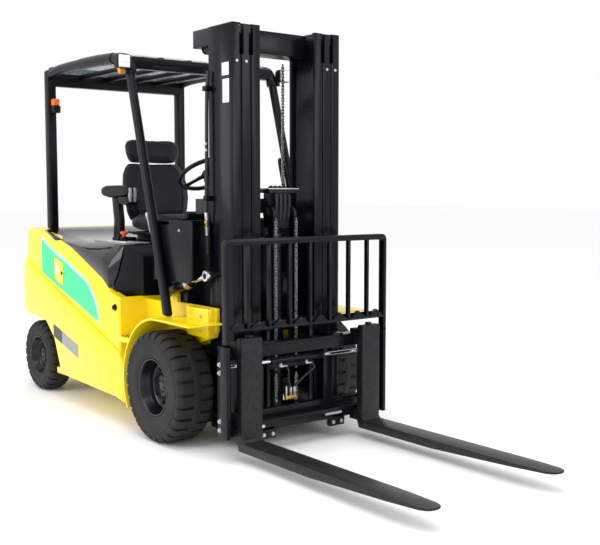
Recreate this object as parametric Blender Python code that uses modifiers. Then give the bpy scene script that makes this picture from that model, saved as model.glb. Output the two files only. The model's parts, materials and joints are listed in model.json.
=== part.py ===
"""Four-wheel electric counterbalance forklift, seated-rider type, with a three-stage mast.

World axes: X forward (forks), Y left, Z up, metres, floor at z = 0.
"""
import math

import bmesh
import bpy
from mathutils import Matrix, Vector

# ---- driving dimensions -------------------------------------------------------------
WHEELBASE = 1.65            # front axle to steer axle
AX = 0.12                   # front axle station along X
RX = AX - WHEELBASE         # steer axle station along X
FRONT_R = 0.290             # drive tyre radius
FRONT_W = 0.215             # drive tyre width
FRONT_Y = 0.4925            # drive tyre centre, each side
REAR_R = 0.228              # steer tyre radius
REAR_W = 0.155              # steer tyre width
REAR_Y = 0.4475             # steer tyre centre, each side
KING_Y = 0.325              # kingpin, each side
BODY_Y = 0.540              # half width of the upper side panel
SKIRT_Y = 0.560             # half width of the lower bulged side panel
PLATE_Y = 0.355             # inner face of the front frame plates
HOOD_Z = 1.000              # flat top of the hood
HINGE_X = RX + 0.210        # hood hinge
HINGE_Z = 1.060
LID_R = AX - 0.528 - HINGE_X   # sweep radius of the hood about its hinge
GUARD_Y = 0.500             # half width of the overhead guard
GUARD_TOP = 2.090           # rear top of the guard
MAST_BACK = AX + 0.165      # rear faces of the mast rails
MAST_FRONT = AX + 0.381     # front faces of the mast rails
MAST_TOP = 2.120
MAST_FOOT = 0.080
OUTER_Y = 0.340             # outer face of the outer rails
RAIL_W = 0.052              # width of each rail in Y
RAIL_GAP = 0.005            # gap between neighbouring rails
FLANGE = 0.024              # rail flange thickness
WEB = 0.014                 # rail web thickness
TILT_Z = FRONT_R            # the mast tilts about the drive axle
LIFT_X = AX + 0.118         # lift cylinders behind the rails
LIFT_Y = 0.262
FREE_X = AX + 0.262         # free-lift cylinder in the middle
SHIFT_X = AX + 0.480        # rear face of the side-shifter bars
RAM_Z = 0.445               # side-shift cylinder, just below the upper bar
FORK_FACE = AX + 0.600      # front face of the fork shanks
FORK_LEN = 1.220            # blade length ahead of the shank face
FORK_W = 0.122
FORK_T = 0.044
FORK_Y = 0.383              # fork centre, each side
FORK_Z = 0.052              # underside of the blades
REST_Y = 0.512              # half width of the load backrest
REST_TOP = 1.074
TILT_CYL_Y = 0.412          # tilt cylinder centre plane, each side
GAP = 0.0003                # assembly gap between touching pieces

for old in list(bpy.data.objects):
    bpy.data.objects.remove(old, do_unlink=True)

SCENE = bpy.context.scene
TOOLS = bpy.data.collections.new("cutters")
SCENE.collection.children.link(TOOLS)


# ---- small helpers ------------------------------------------------------------------
def paint(obj, title, rgb, rough, metal):
    mat = bpy.data.materials.get(title)
    if mat is None:
        mat = bpy.data.materials.new(title)
        mat.use_nodes = True
        shader = mat.node_tree.nodes["Principled BSDF"]
        shader.inputs["Base Color"].default_value = (rgb[0], rgb[1], rgb[2], 1.0)
        shader.inputs["Roughness"].default_value = rough
        shader.inputs["Metallic"].default_value = metal
    obj.data.materials.clear()
    obj.data.materials.append(mat)
    return obj


def box(title, x, y, z):
    bm = bmesh.new()
    bmesh.ops.create_cube(bm, size=1.0)
    size = (x[1] - x[0], y[1] - y[0], z[1] - z[0])
    mid = ((x[0] + x[1]) / 2, (y[0] + y[1]) / 2, (z[0] + z[1]) / 2)
    bmesh.ops.scale(bm, vec=size, verts=bm.verts)
    bmesh.ops.translate(bm, vec=mid, verts=bm.verts)
    return finish(title, bm)


def rod(title, start, end, radius, sides=32):
    start = Vector(start)
    end = Vector(end)
    bm = bmesh.new()
    bmesh.ops.create_cone(bm, cap_ends=True, segments=sides, radius1=radius, radius2=radius,
                          depth=(end - start).length)
    turn = (end - start).to_track_quat("Z", "Y").to_matrix().to_4x4()
    bmesh.ops.transform(bm, matrix=Matrix.Translation((start + end) / 2) @ turn, verts=bm.verts)
    return finish(title, bm)


def finish(title, bm):
    mesh = bpy.data.meshes.new(title)
    bm.to_mesh(mesh)
    bm.free()
    obj = bpy.data.objects.new(title, mesh)
    SCENE.collection.objects.link(obj)
    return obj


def plate(title, outline, low, high, plane="XZ"):
    """A flat outline given in world units, from low to high across its plane."""
    curve = bpy.data.curves.new(title, "CURVE")
    curve.dimensions = "2D"
    curve.fill_mode = "BOTH"
    curve.extrude = (high - low) / 2
    spline = curve.splines.new("POLY")
    spline.points.add(len(outline) - 1)
    for point, place in zip(spline.points, outline):
        point.co = (place[0], place[1], 0.0, 1.0)
    spline.use_cyclic_u = True
    made = bpy.data.objects.new(title + "_curve", curve)
    SCENE.collection.objects.link(made)
    if plane == "XZ":
        made.rotation_euler = (math.pi / 2, 0, 0)
        made.location = (0, (low + high) / 2, 0)
    elif plane == "YZ":
        made.rotation_euler = (math.pi / 2, 0, math.pi / 2)
        made.location = ((low + high) / 2, 0, 0)
    else:
        made.location = (0, 0, (low + high) / 2)
    bpy.context.view_layer.update()
    mesh = bpy.data.meshes.new_from_object(made.evaluated_get(bpy.context.evaluated_depsgraph_get()))
    bm = bmesh.new()
    bm.from_mesh(mesh)
    bmesh.ops.transform(bm, matrix=made.matrix_world, verts=bm.verts)
    bmesh.ops.remove_doubles(bm, verts=bm.verts, dist=0.00001)
    bmesh.ops.recalc_face_normals(bm, faces=bm.faces)
    bpy.data.objects.remove(made, do_unlink=True)
    return finish(title, bm)


def tool(obj):
    SCENE.collection.objects.unlink(obj)
    TOOLS.objects.link(obj)
    obj.hide_render = True
    obj.display_type = "WIRE"
    return obj


def join(obj, other, kind="UNION"):
    tool(other)
    step = obj.modifiers.new(kind.lower(), "BOOLEAN")
    step.operation = kind
    step.solver = "EXACT"
    step.object = other
    return obj


def cut(obj, other):
    return join(obj, other, "DIFFERENCE")


def place(obj, point):
    """Move the origin to a joint point without moving the shape."""
    shift = Vector(point)
    obj.data.transform(Matrix.Translation(-shift))
    obj.location = shift
    return obj


def soften(obj, width, segments=2):
    step = obj.modifiers.new("rounded_edges", "BEVEL")
    step.width = width
    step.segments = segments
    step.limit_method = "ANGLE"
    step.angle_limit = math.radians(35)
    return obj


def smooth(obj):
    for face in obj.data.polygons:
        face.use_smooth = True
    obj.data.set_sharp_from_angle(angle=math.radians(35))
    return obj


def turned(title, profile, centre, side, sides=48):
    """A ring or disc about the Y axis: profile points are (radius, distance outward)."""
    mesh = bpy.data.meshes.new(title)
    bm = bmesh.new()
    verts = [bm.verts.new((r, 0.0, h)) for r, h in profile]
    for first, second in zip(verts, verts[1:]):
        bm.edges.new((first, second))
    if profile[0][0] > 0.0001:
        bm.edges.new((verts[-1], verts[0]))
    bm.to_mesh(mesh)
    bm.free()
    obj = bpy.data.objects.new(title, mesh)
    SCENE.collection.objects.link(obj)
    screw = obj.modifiers.new("turned", "SCREW")
    screw.axis = "Z"
    screw.angle = math.tau
    screw.steps = sides
    screw.render_steps = sides
    screw.use_merge_vertices = True
    screw.merge_threshold = 0.0001
    screw.use_smooth_shade = True
    obj.rotation_euler = (-side * math.pi / 2, 0, 0)
    obj.location = centre
    return obj


def solid(obj):
    """Replace an object by its finished mesh, in world position, so that it can be joined."""
    bpy.context.view_layer.update()
    done = bpy.data.meshes.new_from_object(obj.evaluated_get(bpy.context.evaluated_depsgraph_get()))
    done.transform(obj.matrix_world)
    name = obj.name
    bpy.data.objects.remove(obj, do_unlink=True)
    made = bpy.data.objects.new(name, done)
    SCENE.collection.objects.link(made)
    return made


YELLOW = ("yellow paint", (0.93, 0.72, 0.01), 0.32, 0.0)
BLACK = ("black paint", (0.012, 0.013, 0.017), 0.38, 0.0)
PLASTIC = ("black plastic", (0.015, 0.016, 0.018), 0.45, 0.0)
RUBBER = ("tyre rubber", (0.03, 0.03, 0.03), 0.8, 0.0)
STEEL = ("worn steel", (0.05, 0.05, 0.055), 0.45, 0.6)
CHROME = ("chrome", (0.8, 0.8, 0.8), 0.12, 1.0)
CLOTH = ("seat vinyl", (0.03, 0.035, 0.05), 0.6, 0.0)
GLASS = ("roof panel", (0.5, 0.6, 0.7), 0.1, 0.0)
GREY = ("battery grey", (0.18, 0.18, 0.19), 0.5, 0.2)
LAMP = ("lamp white", (0.85, 0.85, 0.85), 0.2, 0.0)

# ---- chassis ------------------------------------------------------------------------
# Edge along which the hood skirt meets the yellow side panels, rear to front.
SEAM = [(-1.430, 1.058), (-1.065, 0.962), (-0.839, 0.874), (-0.652, 0.801), (-0.560, 0.735), (-0.470, 0.716)]
SEAM = [(AX + x if x > -1.200 else RX + 1.650 + x, z) for x, z in SEAM]


def wheel_arc(radius, first, last, count, x0, z0):
    found = []
    for step in range(count + 1):
        turn = math.radians(first + (last - first) * step / count)
        found.append((x0 + radius * math.cos(turn), z0 + radius * math.sin(turn)))
    return found


frame = box("chassis_frame", (RX + 0.320, AX - 0.452), (-0.530, 0.530), (0.160, 0.200))
for side in (-1, 1):
    label = "right" if side < 0 else "left"
    upper = [(RX - 0.070, 1.060), (RX + 0.190, 1.060)] + SEAM
    upper += [(AX - 0.452, 0.716), (AX - 0.452, 0.400), (AX - 0.470, 0.180), (RX + 0.450, 0.180)]
    upper += [(RX + 0.350, 0.390), (RX + 0.230, 0.486), (RX - 0.070, 0.513)]
    ys = sorted((side * 0.480, side * BODY_Y))
    join(frame, plate("panel_upper_" + label, upper, ys[0], ys[1]))
    lower = [(RX - 0.070, 0.845), (AX - 0.440, 0.410), (AX - 0.375, 0.300), (AX - 0.375, 0.133)]
    lower += [(AX - 0.476, 0.152), (RX + 0.447, 0.172), (RX + 0.350, 0.382), (RX + 0.230, 0.480)]
    lower += [(RX - 0.070, 0.506)]
    ys = sorted((side * 0.500, side * SKIRT_Y))
    join(frame, plate("panel_lower_" + label, lower, ys[0], ys[1]))
    ys = sorted((side * PLATE_Y, side * 0.378))
    rail = [(AX - 0.480, 0.700), (AX - 0.480, 0.250), (AX - 0.300, 0.250), (AX - 0.200, 0.420)]
    rail += [(AX + 0.260, 0.560), (AX + 0.280, 0.600), (AX + 0.280, 0.710), (AX - 0.100, 0.710)]
    rail += [(AX - 0.110, 0.795), (AX - 0.170, 0.795), (AX - 0.180, 0.700)]
    join(frame, plate("front_rail_" + label, rail, ys[0], ys[1]))
    arch = wheel_arc(0.345, 208, 92, 12, AX, FRONT_R)
    arch += [(AX + 0.340, 0.632), (AX + 0.340, 0.642)]
    arch += wheel_arc(0.357, 90, 208, 12, AX, FRONT_R)
    ys = sorted((side * 0.370, side * 0.575))
    join(frame, plate("fender_" + label, arch, ys[0], ys[1]))
    ys = sorted((side * 0.360, side * 0.420))
    join(frame, box("front_block_" + label, (AX + 0.060, AX + 0.270), ys, (0.636, 0.708)))
    ys = sorted((side * 0.340, side * 0.545))
    join(frame, box("step_" + label, (AX - 0.460, AX - 0.348), ys, (0.470, 0.4997)))
    ys = sorted((side * 0.365, side * 0.429))
    join(frame, rod("tilt_pin_" + label, (AX - 0.140, ys[0], 0.765), (AX - 0.140, ys[1], 0.765), 0.012, 24))
join(frame, box("front_riser", (AX - 0.470, AX - 0.450), (-0.490, 0.490), (0.180, 0.716)))
join(frame, box("rear_wall", (RX + 0.320, RX + 0.350), (-0.490, 0.490), (0.180, 0.480)))
join(frame, box("floor_beam_rear", (AX - 0.460, AX - 0.400), (-0.360, 0.360), (0.440, 0.4997)))
join(frame, box("floor_beam_front", (AX - 0.200, AX - 0.150), (-0.360, 0.360), (0.452, 0.4997)))
join(frame, box("floor_plate", (AX - 0.455, AX - 0.040), (-0.360, 0.360), (0.490, 0.506)))


def sweep_arc(radius, low, high, count):
    """Points on the circle that the front edge of the hood follows as it opens."""
    found = []
    for step in range(count + 1):
        z = low + (high - low) * step / count
        found.append((HINGE_X + math.sqrt(radius ** 2 - (HINGE_Z - z) ** 2), z))
    return found


def hood_plan(title, inset, low, high):
    """Plan of the hood with its two chamfered front corners; its sides stand clear of the hood's."""
    near = (AX - 0.600 - inset / 2, 0.535 - inset)
    far = (AX - 0.450 - inset, 0.390 - inset / 2)
    slope = (far[0] - near[0]) / (far[1] - near[1])
    shape = [(RX + 0.150, 0.600), (near[0] + slope * (0.600 - near[1]), 0.600), far]
    shape += [(x, -y) for x, y in reversed(shape)]
    return plate(title, shape, low, high, "XY")


heel = sweep_arc(LID_R + 0.005, 0.706, 0.998, 6)
heel += [(AX - 0.505, 0.995), (AX - 0.458, 0.955), (AX - 0.450, 0.706)]
heel_panel = plate("heel_panel", heel, -0.535, 0.535)
join(heel_panel, hood_plan("heel_plan", 0.0, 0.600, 1.200), "INTERSECT")
hollow = box("heel_hollow", (RX + 0.200, AX - 0.400), (-0.515, 0.515), (0.650, 0.975))
join(hollow, hood_plan("heel_hollow_plan", 0.020, 0.600, 1.000), "INTERSECT")
cut(heel_panel, solid(hollow))
join(frame, solid(heel_panel))
paint(frame, *YELLOW)

plan = [(RX - 0.0706, 0.540), (RX - 0.210, 0.500), (RX - 0.310, 0.420)]
plan += [(RX - 0.380, 0.280), (RX - 0.410, 0.120)]
plan += [(x, -y) for x, y in reversed(plan)]
weight = plate("counterweight", plan, 0.513, 0.860, "XY")
crown = [(RX - 0.0706, 0.520), (RX - 0.150, 0.490), (RX - 0.250, 0.400)]
crown += [(RX - 0.315, 0.270), (RX - 0.340, 0.120)]
crown += [(x, -y) for x, y in reversed(crown)]
join(weight, plate("weight_crown", crown, 0.850, 1.060, "XY"))
join(weight, box("weight_core", (RX - 0.110, RX + 0.205), (-0.479, 0.479), (0.520, 1.0585)))
join(weight, box("weight_nose", (RX + 0.150, RX + 0.290), (-0.479, 0.479), (0.520, 0.980)))
join(weight, box("weight_tail", (RX - 0.390, RX - 0.325), (-0.300, 0.300), (0.190, 0.530)))
join(weight, box("axle_mount", (RX - 0.070, RX + 0.070), (-0.100, 0.100), (0.300, 0.530)))
paint(weight, *YELLOW)

battery = box("battery", (RX + 0.370, AX - 0.500), (-0.460, 0.460), (0.2003, 0.700))
paint(battery, *GREY)

skin = [(x, z + 0.0005) for x, z in SEAM[:4]]
skin += sweep_arc(LID_R, 0.7545, HOOD_Z, 6)
skin += [(RX + 0.570, HOOD_Z), (RX + 0.350, HOOD_Z + 0.030), (RX + 0.220, 1.070)]
hood = plate("hood", skin, -0.535, 0.535)
join(hood, hood_plan("lid_plan", 0.0, 0.600, 1.200), "INTERSECT")
inside = [(RX + 0.200, 0.600), (AX - 0.400, 0.600), (AX - 0.400, HOOD_Z - 0.020)]
inside += [(RX + 0.570, HOOD_Z - 0.020), (RX + 0.350, HOOD_Z + 0.010), (RX + 0.200, 1.050)]
hollow = plate("hood_inside", inside, -0.515, 0.515)
join(hollow, hood_plan("inside_plan", 0.020, 0.500, 1.300), "INTERSECT")
cut(hood, solid(hollow))
place(hood, (HINGE_X, 0, HINGE_Z))
paint(hood, *PLASTIC)

base = box("seat_base", (AX - 0.970, AX - 0.600), (-0.190, 0.190), (HOOD_Z + GAP, 1.0597))
join(base, box("arm_foot", (AX - 0.980, AX - 0.880), (-0.310, -0.180), (HOOD_Z + GAP, 1.040)))
join(base, box("arm_post", (AX - 0.980, AX - 0.880), (-0.310, -0.270), (1.010, 1.290)))
join(base, box("armrest", (AX - 1.080, AX - 0.720), (-0.330, -0.262), (1.270, 1.325)))
join(base, box("lever_pod", (AX - 0.820, AX - 0.700), (-0.340, -0.255), (1.230, 1.345)))
paint(base, *PLASTIC)

cushion = box("seat_cushion", (AX - 0.950, AX - 0.545), (-0.240, 0.240), (1.060, 1.180))
soften(cushion, 0.030, 3)
paint(cushion, *CLOTH)

back = [(AX - 0.9505, 1.090), (AX - 0.9505, 1.190), (AX - 1.025, 1.520), (AX - 1.040, 1.630)]
back += [(AX - 1.100, 1.630), (AX - 1.135, 1.500), (AX - 1.060, 1.090)]
backrest = plate("seat_back", back, -0.235, 0.235)
soften(backrest, 0.022, 3)
paint(backrest, *CLOTH)

cowl = box("dash_cowl", (AX - 0.220, AX - 0.040), (-0.350, 0.350), (0.5065, 1.145))
join(cowl, box("cowl_wall", (AX - 0.220, AX - 0.200), (-0.4565, 0.4565), (0.830, 1.145)))
join(cowl, box("cowl_shelf", (AX - 0.220, AX - 0.040), (-0.4565, 0.4565), (1.120, 1.145)))
for side in (-1, 1):
    ys = sorted((side * 0.445, side * 0.4565))
    join(cowl, box("cowl_wing", (AX - 0.220, AX + 0.180), ys, (0.830, 1.145)))
join(cowl, rod("column", (AX - 0.190, 0, 1.080), (AX - 0.3685, 0, 1.3804), 0.034))
paint(cowl, *PLASTIC)

wheel_at = Vector((AX - 0.380, 0, 1.400))
wheel_axis = Vector((-0.5115, 0, 0.8593))
bpy.ops.mesh.primitive_torus_add(major_radius=0.165, minor_radius=0.013, major_segments=48, minor_segments=10)
wheel = bpy.context.object
wheel.name = "steering_wheel"
aim = Matrix.Translation(wheel_at) @ wheel_axis.to_track_quat("Z", "Y").to_matrix().to_4x4()
wheel.data.transform(aim)
hub = box("wheel_hub", (-0.032, 0.032), (-0.032, 0.032), (-0.022, 0.020))
hub.data.transform(aim)
join(wheel, hub)
for turn in (0, 120, 240):
    spoke = box("wheel_spoke", (0.0, 0.163), (-0.014, 0.014), (-0.006, 0.006))
    spoke.data.transform(aim @ Matrix.Rotation(math.radians(turn + 180), 4, "Z"))
    join(wheel, spoke)
knob = rod("wheel_knob", (-0.115, 0.115, 0.0), (-0.115, 0.115, 0.045), 0.018, 20)
knob.data.transform(aim)
join(wheel, knob)
place(wheel, wheel_at)
paint(wheel, *PLASTIC)

# ---- overhead guard -----------------------------------------------------------------
guard = box("overhead_guard", (RX + 0.140, RX + 0.200), (-GUARD_Y, GUARD_Y), (1.960, GUARD_TOP - 0.005))
for side in (-1, 1):
    ys = sorted((side * 0.440, side * GUARD_Y))
    join(guard, box("rear_leg", (RX + 0.138, RX + 0.198), ys, (1.0603, 2.050)))
    side_rail = [(RX + 0.150, GUARD_TOP), (AX - 0.420, 2.066), (AX - 0.385, 2.030), (AX - 0.385, 1.950)]
    side_rail += [(AX - 0.430, 1.940), (RX + 0.150, 2.015)]
    join(guard, plate("side_rail", side_rail, ys[0], ys[1]))
    inner = sorted((side * 0.457, side * 0.499))
    leg = [(AX - 0.060, 0.6475), (AX + 0.000, 0.6475), (AX - 0.030, 0.760), (AX - 0.190, 1.300)]
    leg += [(AX - 0.385, 1.960), (AX - 0.435, 1.960), (AX - 0.240, 1.290), (AX - 0.085, 0.760)]
    join(guard, plate("front_leg", leg, inner[0], inner[1]))
join(guard, box("front_bar", (AX - 0.450, AX - 0.390), (-0.480, 0.480), (1.965, 2.058)))
for y in (-0.27, -0.09, 0.09, 0.27):
    join(guard, box("roof_bar", (RX + 0.170, AX - 0.420), (y - 0.015, y + 0.015), (2.010, 2.040)))
paint(guard, *BLACK)

roof = box("roof_panel", (RX + 0.2005, AX - 0.4505), (-0.4395, 0.4395), (2.0403, 2.0463))
paint(roof, *GLASS)

# ---- axles and wheels ---------------------------------------------------------------
axle = rod("drive_axle", (AX, -0.380, FRONT_R), (AX, 0.380, FRONT_R), 0.055)
join(axle, rod("gear_case", (AX, -0.130, FRONT_R), (AX, 0.130, FRONT_R), 0.120))
join(axle, rod("drive_motor", (AX - 0.060, 0.0, FRONT_R + 0.02), (AX - 0.400, 0.0, FRONT_R + 0.02), 0.105))
for side in (-1, 1):
    ys = sorted((side * 0.345, side * 0.376))
    mount = [(AX - 0.060, FRONT_R), (AX + 0.060, FRONT_R), (AX + 0.060, 0.4988), (AX - 0.060, 0.4623)]
    join(axle, plate("axle_mount", mount, ys[0], ys[1]))
paint(axle, *BLACK)

tyre_front = [(0.150, 0.0980), (0.170, 0.1050), (0.235, FRONT_W / 2), (0.268, 0.1030), (FRONT_R, 0.0800)]
tyre_front += [(r, -h) for r, h in reversed(tyre_front)]
rim_front = [(0.0, 0.045), (0.060, 0.045), (0.075, 0.022), (0.118, 0.022), (0.132, 0.060), (0.1494, 0.094)]
rim_front += [(0.1494, -0.094), (0.132, -0.080), (0.118, 0.004), (0.070, 0.004), (0.065, -0.112), (0.0, -0.112)]
tyre_rear = [(0.128, 0.0700), (0.145, 0.0760), (0.188, REAR_W / 2), (0.210, 0.0730), (REAR_R, 0.0560)]
tyre_rear += [(r, -h) for r, h in reversed(tyre_rear)]
rim_rear = [(0.0, 0.040), (0.045, 0.040), (0.060, 0.020), (0.100, 0.020), (0.112, 0.045), (0.1274, 0.066)]
rim_rear += [(0.1274, -0.066), (0.112, -0.058), (0.100, 0.004), (0.055, 0.004), (0.050, -0.062), (0.0, -0.062)]

steer = box("steer_axle", (RX - 0.050, RX + 0.050), (-0.240, 0.240), (0.165, 0.2997))
for side in (-1, 1):
    label = "right" if side < 0 else "left"
    centre = (AX, side * FRONT_Y, FRONT_R)
    paint(turned("front_tyre_" + label, tyre_front, centre, side), *RUBBER)
    paint(turned("front_rim_" + label, rim_front, centre, side), *STEEL)
    centre = (RX, side * REAR_Y, REAR_R)
    paint(turned("rear_tyre_" + label, tyre_rear, centre, side), *RUBBER)
    paint(turned("rear_rim_" + label, rim_rear, centre, side), *STEEL)
    ys = sorted((side * 0.220, side * 0.350))
    join(steer, box("yoke_top", (RX - 0.030, RX + 0.030), ys, (0.272, 0.298)))
    join(steer, box("yoke_low", (RX - 0.030, RX + 0.030), ys, (0.158, 0.184)))
    king = (RX, side * KING_Y, REAR_R)
    knuckle = rod("knuckle_" + label, (RX, side * KING_Y, 0.1843), (RX, side * KING_Y, 0.2717), 0.026)
    join(knuckle, rod("stub", (RX, side * 0.318, REAR_R), (RX, side * 0.3852, REAR_R), 0.030))
    place(knuckle, king)
    paint(knuckle, *BLACK)
paint(steer, *BLACK)


# ---- mast ---------------------------------------------------------------------------
def channel(outer, shape):
    """Rail section in plan on the left side; outer is the outer face in Y."""
    inner = outer - RAIL_W
    if shape == "C":
        return [(MAST_BACK, outer), (MAST_FRONT, outer), (MAST_FRONT, inner), (MAST_FRONT - FLANGE, inner),
                (MAST_FRONT - FLANGE, outer - WEB), (MAST_BACK + FLANGE, outer - WEB),
                (MAST_BACK + FLANGE, inner), (MAST_BACK, inner)]
    mid = (outer + inner) / 2
    return [(MAST_BACK, outer), (MAST_BACK + FLANGE, outer), (MAST_BACK + FLANGE, mid + WEB / 2),
            (MAST_FRONT - FLANGE, mid + WEB / 2), (MAST_FRONT - FLANGE, outer), (MAST_FRONT, outer),
            (MAST_FRONT, inner), (MAST_FRONT - FLANGE, inner), (MAST_FRONT - FLANGE, mid - WEB / 2),
            (MAST_BACK + FLANGE, mid - WEB / 2), (MAST_BACK + FLANGE, inner), (MAST_BACK, inner)]


MIDDLE_Y = OUTER_Y - RAIL_W - RAIL_GAP
INNER_Y = MIDDLE_Y - RAIL_W - RAIL_GAP
ROLL_X = (MAST_BACK + MAST_FRONT) / 2
ROLL_R = (MAST_FRONT - MAST_BACK) / 2 - FLANGE - GAP


def rail_pair(title, outer, shape, low, high):
    made = None
    for side in (1, -1):
        pts = [(x, side * y) for x, y in channel(outer, shape)]
        one = plate(title if made is None else title + "_rail", pts, low, high, "XY")
        made = one if made is None else join(made, one)
    return made


mast = rail_pair("outer_mast", OUTER_Y, "C", MAST_FOOT, MAST_TOP)
for side in (-1, 1):
    ys = sorted((side * 0.306, side * OUTER_Y))
    join(mast, box("top_arm", (AX + 0.020, MAST_BACK + 0.010), ys, (MAST_TOP - 0.090, MAST_TOP - 0.002)))
    join(mast, box("mid_arm", (AX + 0.030, MAST_BACK + 0.010), ys, (1.180, 1.260)))
    join(mast, box("low_arm", (AX + 0.060, MAST_BACK + 0.010), ys, (0.100, 0.200)))
    ys = sorted((side * 0.3035, side * 0.335))
    foot = box("axle_foot", (AX - 0.095, MAST_BACK + 0.010), ys, (0.200, 0.380))
    cut(foot, rod("axle_bore", (AX, side * 0.200, TILT_Z), (AX, side * 0.400, TILT_Z), 0.055 + GAP))
    join(mast, solid(foot))
    ys = sorted((side * 0.338, side * 0.429))
    join(mast, rod("tilt_pin", (AX + 0.250, ys[0], 0.875), (AX + 0.250, ys[1], 0.875), 0.012, 24))
    ys = sorted((side * (MIDDLE_Y - RAIL_W / 2 + WEB / 2 + GAP), side * (OUTER_Y - WEB + 0.002)))
    high = MAST_TOP - 0.100
    join(mast, rod("top_roller", (ROLL_X, ys[0], high), (ROLL_X, ys[1], high), ROLL_R, 40))
join(mast, box("top_tie", (AX + 0.020, AX + 0.052), (-0.330, 0.330), (MAST_TOP - 0.090, MAST_TOP - 0.002)))
join(mast, box("mid_tie", (AX + 0.030, AX + 0.062), (-0.330, 0.330), (1.180, 1.260)))
join(mast, box("low_tie", (AX + 0.062, MAST_BACK - 0.005), (-0.330, 0.330), (0.100, 0.130)))
place(mast, (AX, 0, TILT_Z))
paint(mast, *BLACK)

middle = rail_pair("middle_mast", MIDDLE_Y, "I", MAST_FOOT + 0.010, MAST_TOP - 0.004)
for side in (-1, 1):
    ys = sorted((side * (MIDDLE_Y - RAIL_W / 2), side * (OUTER_Y - WEB - GAP)))
    join(middle, rod("low_roller", (ROLL_X, ys[0], 0.180), (ROLL_X, ys[1], 0.180), ROLL_R, 40))
    ys = sorted((side * (INNER_Y - RAIL_W / 2 + WEB / 2 + GAP), side * (MIDDLE_Y - RAIL_W / 2)))
    high = MAST_TOP - 0.100
    join(middle, rod("top_roller", (ROLL_X, ys[0], high), (ROLL_X, ys[1], high), ROLL_R, 40))
    ys = sorted((side * (MIDDLE_Y - RAIL_W + 0.002), side * (MIDDLE_Y - 0.002)))
    join(middle, box("tie_tab", (AX + 0.120, MAST_BACK + 0.010), ys, (MAST_TOP - 0.050, MAST_TOP - 0.010)))
join(middle, box("top_tie", (AX + 0.085, AX + 0.155), (-0.296, 0.296), (MAST_TOP - 0.050, MAST_TOP - 0.010)))
place(middle, (AX, 0, TILT_Z))
paint(middle, *BLACK)

inner = rail_pair("inner_mast", INNER_Y, "I", MAST_FOOT + 0.020, MAST_TOP - 0.002)
for side in (-1, 1):
    ys = sorted((side * (INNER_Y - RAIL_W / 2), side * (MIDDLE_Y - RAIL_W / 2 - WEB / 2 - GAP)))
    join(inner, rod("low_roller", (ROLL_X, ys[0], 0.190), (ROLL_X, ys[1], 0.190), ROLL_R, 40))
tie = INNER_Y - RAIL_W + 0.006
join(inner, box("top_tie", (AX + 0.172, AX + 0.300), (-tie, tie), (MAST_TOP - 0.125, MAST_TOP - 0.010)))
join(inner, box("low_tie", (AX + 0.172, AX + 0.330), (-tie, tie), (0.102, 0.124)))
place(inner, (AX, 0, TILT_Z))
paint(inner, *BLACK)

for side in (-1, 1):
    label = "right" if side < 0 else "left"
    y = side * LIFT_Y
    barrel = rod("lift_cylinder_" + label, (LIFT_X, y, 0.1303), (LIFT_X, y, 1.800), 0.036)
    cut(barrel, rod("lift_bore", (LIFT_X, y, 0.150), (LIFT_X, y, 1.900), 0.0282))
    paint(barrel, *BLACK)
    ram = rod("lift_rod_" + label, (LIFT_X, y, 0.160), (LIFT_X, y, MAST_TOP - 0.0503), 0.0279)
    paint(ram, *CHROME)

barrel = rod("free_lift_cylinder", (FREE_X, 0, 0.1243), (FREE_X, 0, 1.080), 0.045)
cut(barrel, rod("free_bore", (FREE_X, 0, 0.150), (FREE_X, 0, 1.200), 0.0352))
paint(barrel, *BLACK)

ram = rod("free_lift_rod", (FREE_X, 0, 0.380), (FREE_X, 0, 1.140), 0.0349)
join(ram, box("crosshead", (FREE_X - 0.035, FREE_X + 0.070), (-0.045, 0.045), (1.110, 1.300)))
join(ram, rod("sheave_pin", (AX + 0.310, -0.085, 1.180), (AX + 0.310, 0.085, 1.180), 0.014, 24))
for side in (-1, 1):
    ys = sorted((side * 0.056, side * 0.076))
    join(ram, rod("sheave", (AX + 0.310, ys[0], 1.180), (AX + 0.310, ys[1], 1.180), 0.046, 40))
join(ram, box("hose_plate", (AX + 0.230, AX + 0.340), (-0.090, 0.090), (1.290, 1.310)))
paint(ram, *STEEL)

chain = box("lift_chain", (AX + 0.3563, AX + 0.3663), (-0.0740, -0.0580), (0.420, 1.180))
join(chain, box("chain_left", (AX + 0.3563, AX + 0.3663), (0.0580, 0.0740), (0.420, 1.180)))
join(chain, box("chain_anchor", (AX + 0.3563, AX + 0.3663), (-0.0740, 0.0740), (0.415, 0.440)))
place(chain, (AX + 0.3613, 0, 0.420))
paint(chain, *STEEL)

# ---- carriage, side-shifter, forks --------------------------------------------------
carriage = box("carriage", (AX + 0.396, AX + 0.436), (-0.450, 0.450), (0.470, 0.540))
join(carriage, box("lower_bar", (AX + 0.396, AX + 0.436), (-0.450, 0.450), (0.130, 0.200)))
for side in (-1, 1):
    ys = sorted((side * 0.128, side * 0.150))
    join(carriage, box("side_plate", (AX + 0.235, AX + 0.400), ys, (0.135, 0.640)))
    ys = sorted((side * 0.145, side * (INNER_Y - RAIL_W / 2 - WEB / 2 - GAP)))
    join(carriage, rod("roller_low", (ROLL_X, ys[0], 0.225), (ROLL_X, ys[1], 0.225), ROLL_R, 40))
    join(carriage, rod("roller_top", (ROLL_X, ys[0], 0.545), (ROLL_X, ys[1], 0.545), ROLL_R, 40))
join(carriage, box("anchor_bar", (AX + 0.340, AX + 0.400), (-0.140, 0.140), (0.390, 0.4147)))
place(carriage, (AX, 0, TILT_Z))
paint(carriage, *BLACK)

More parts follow.
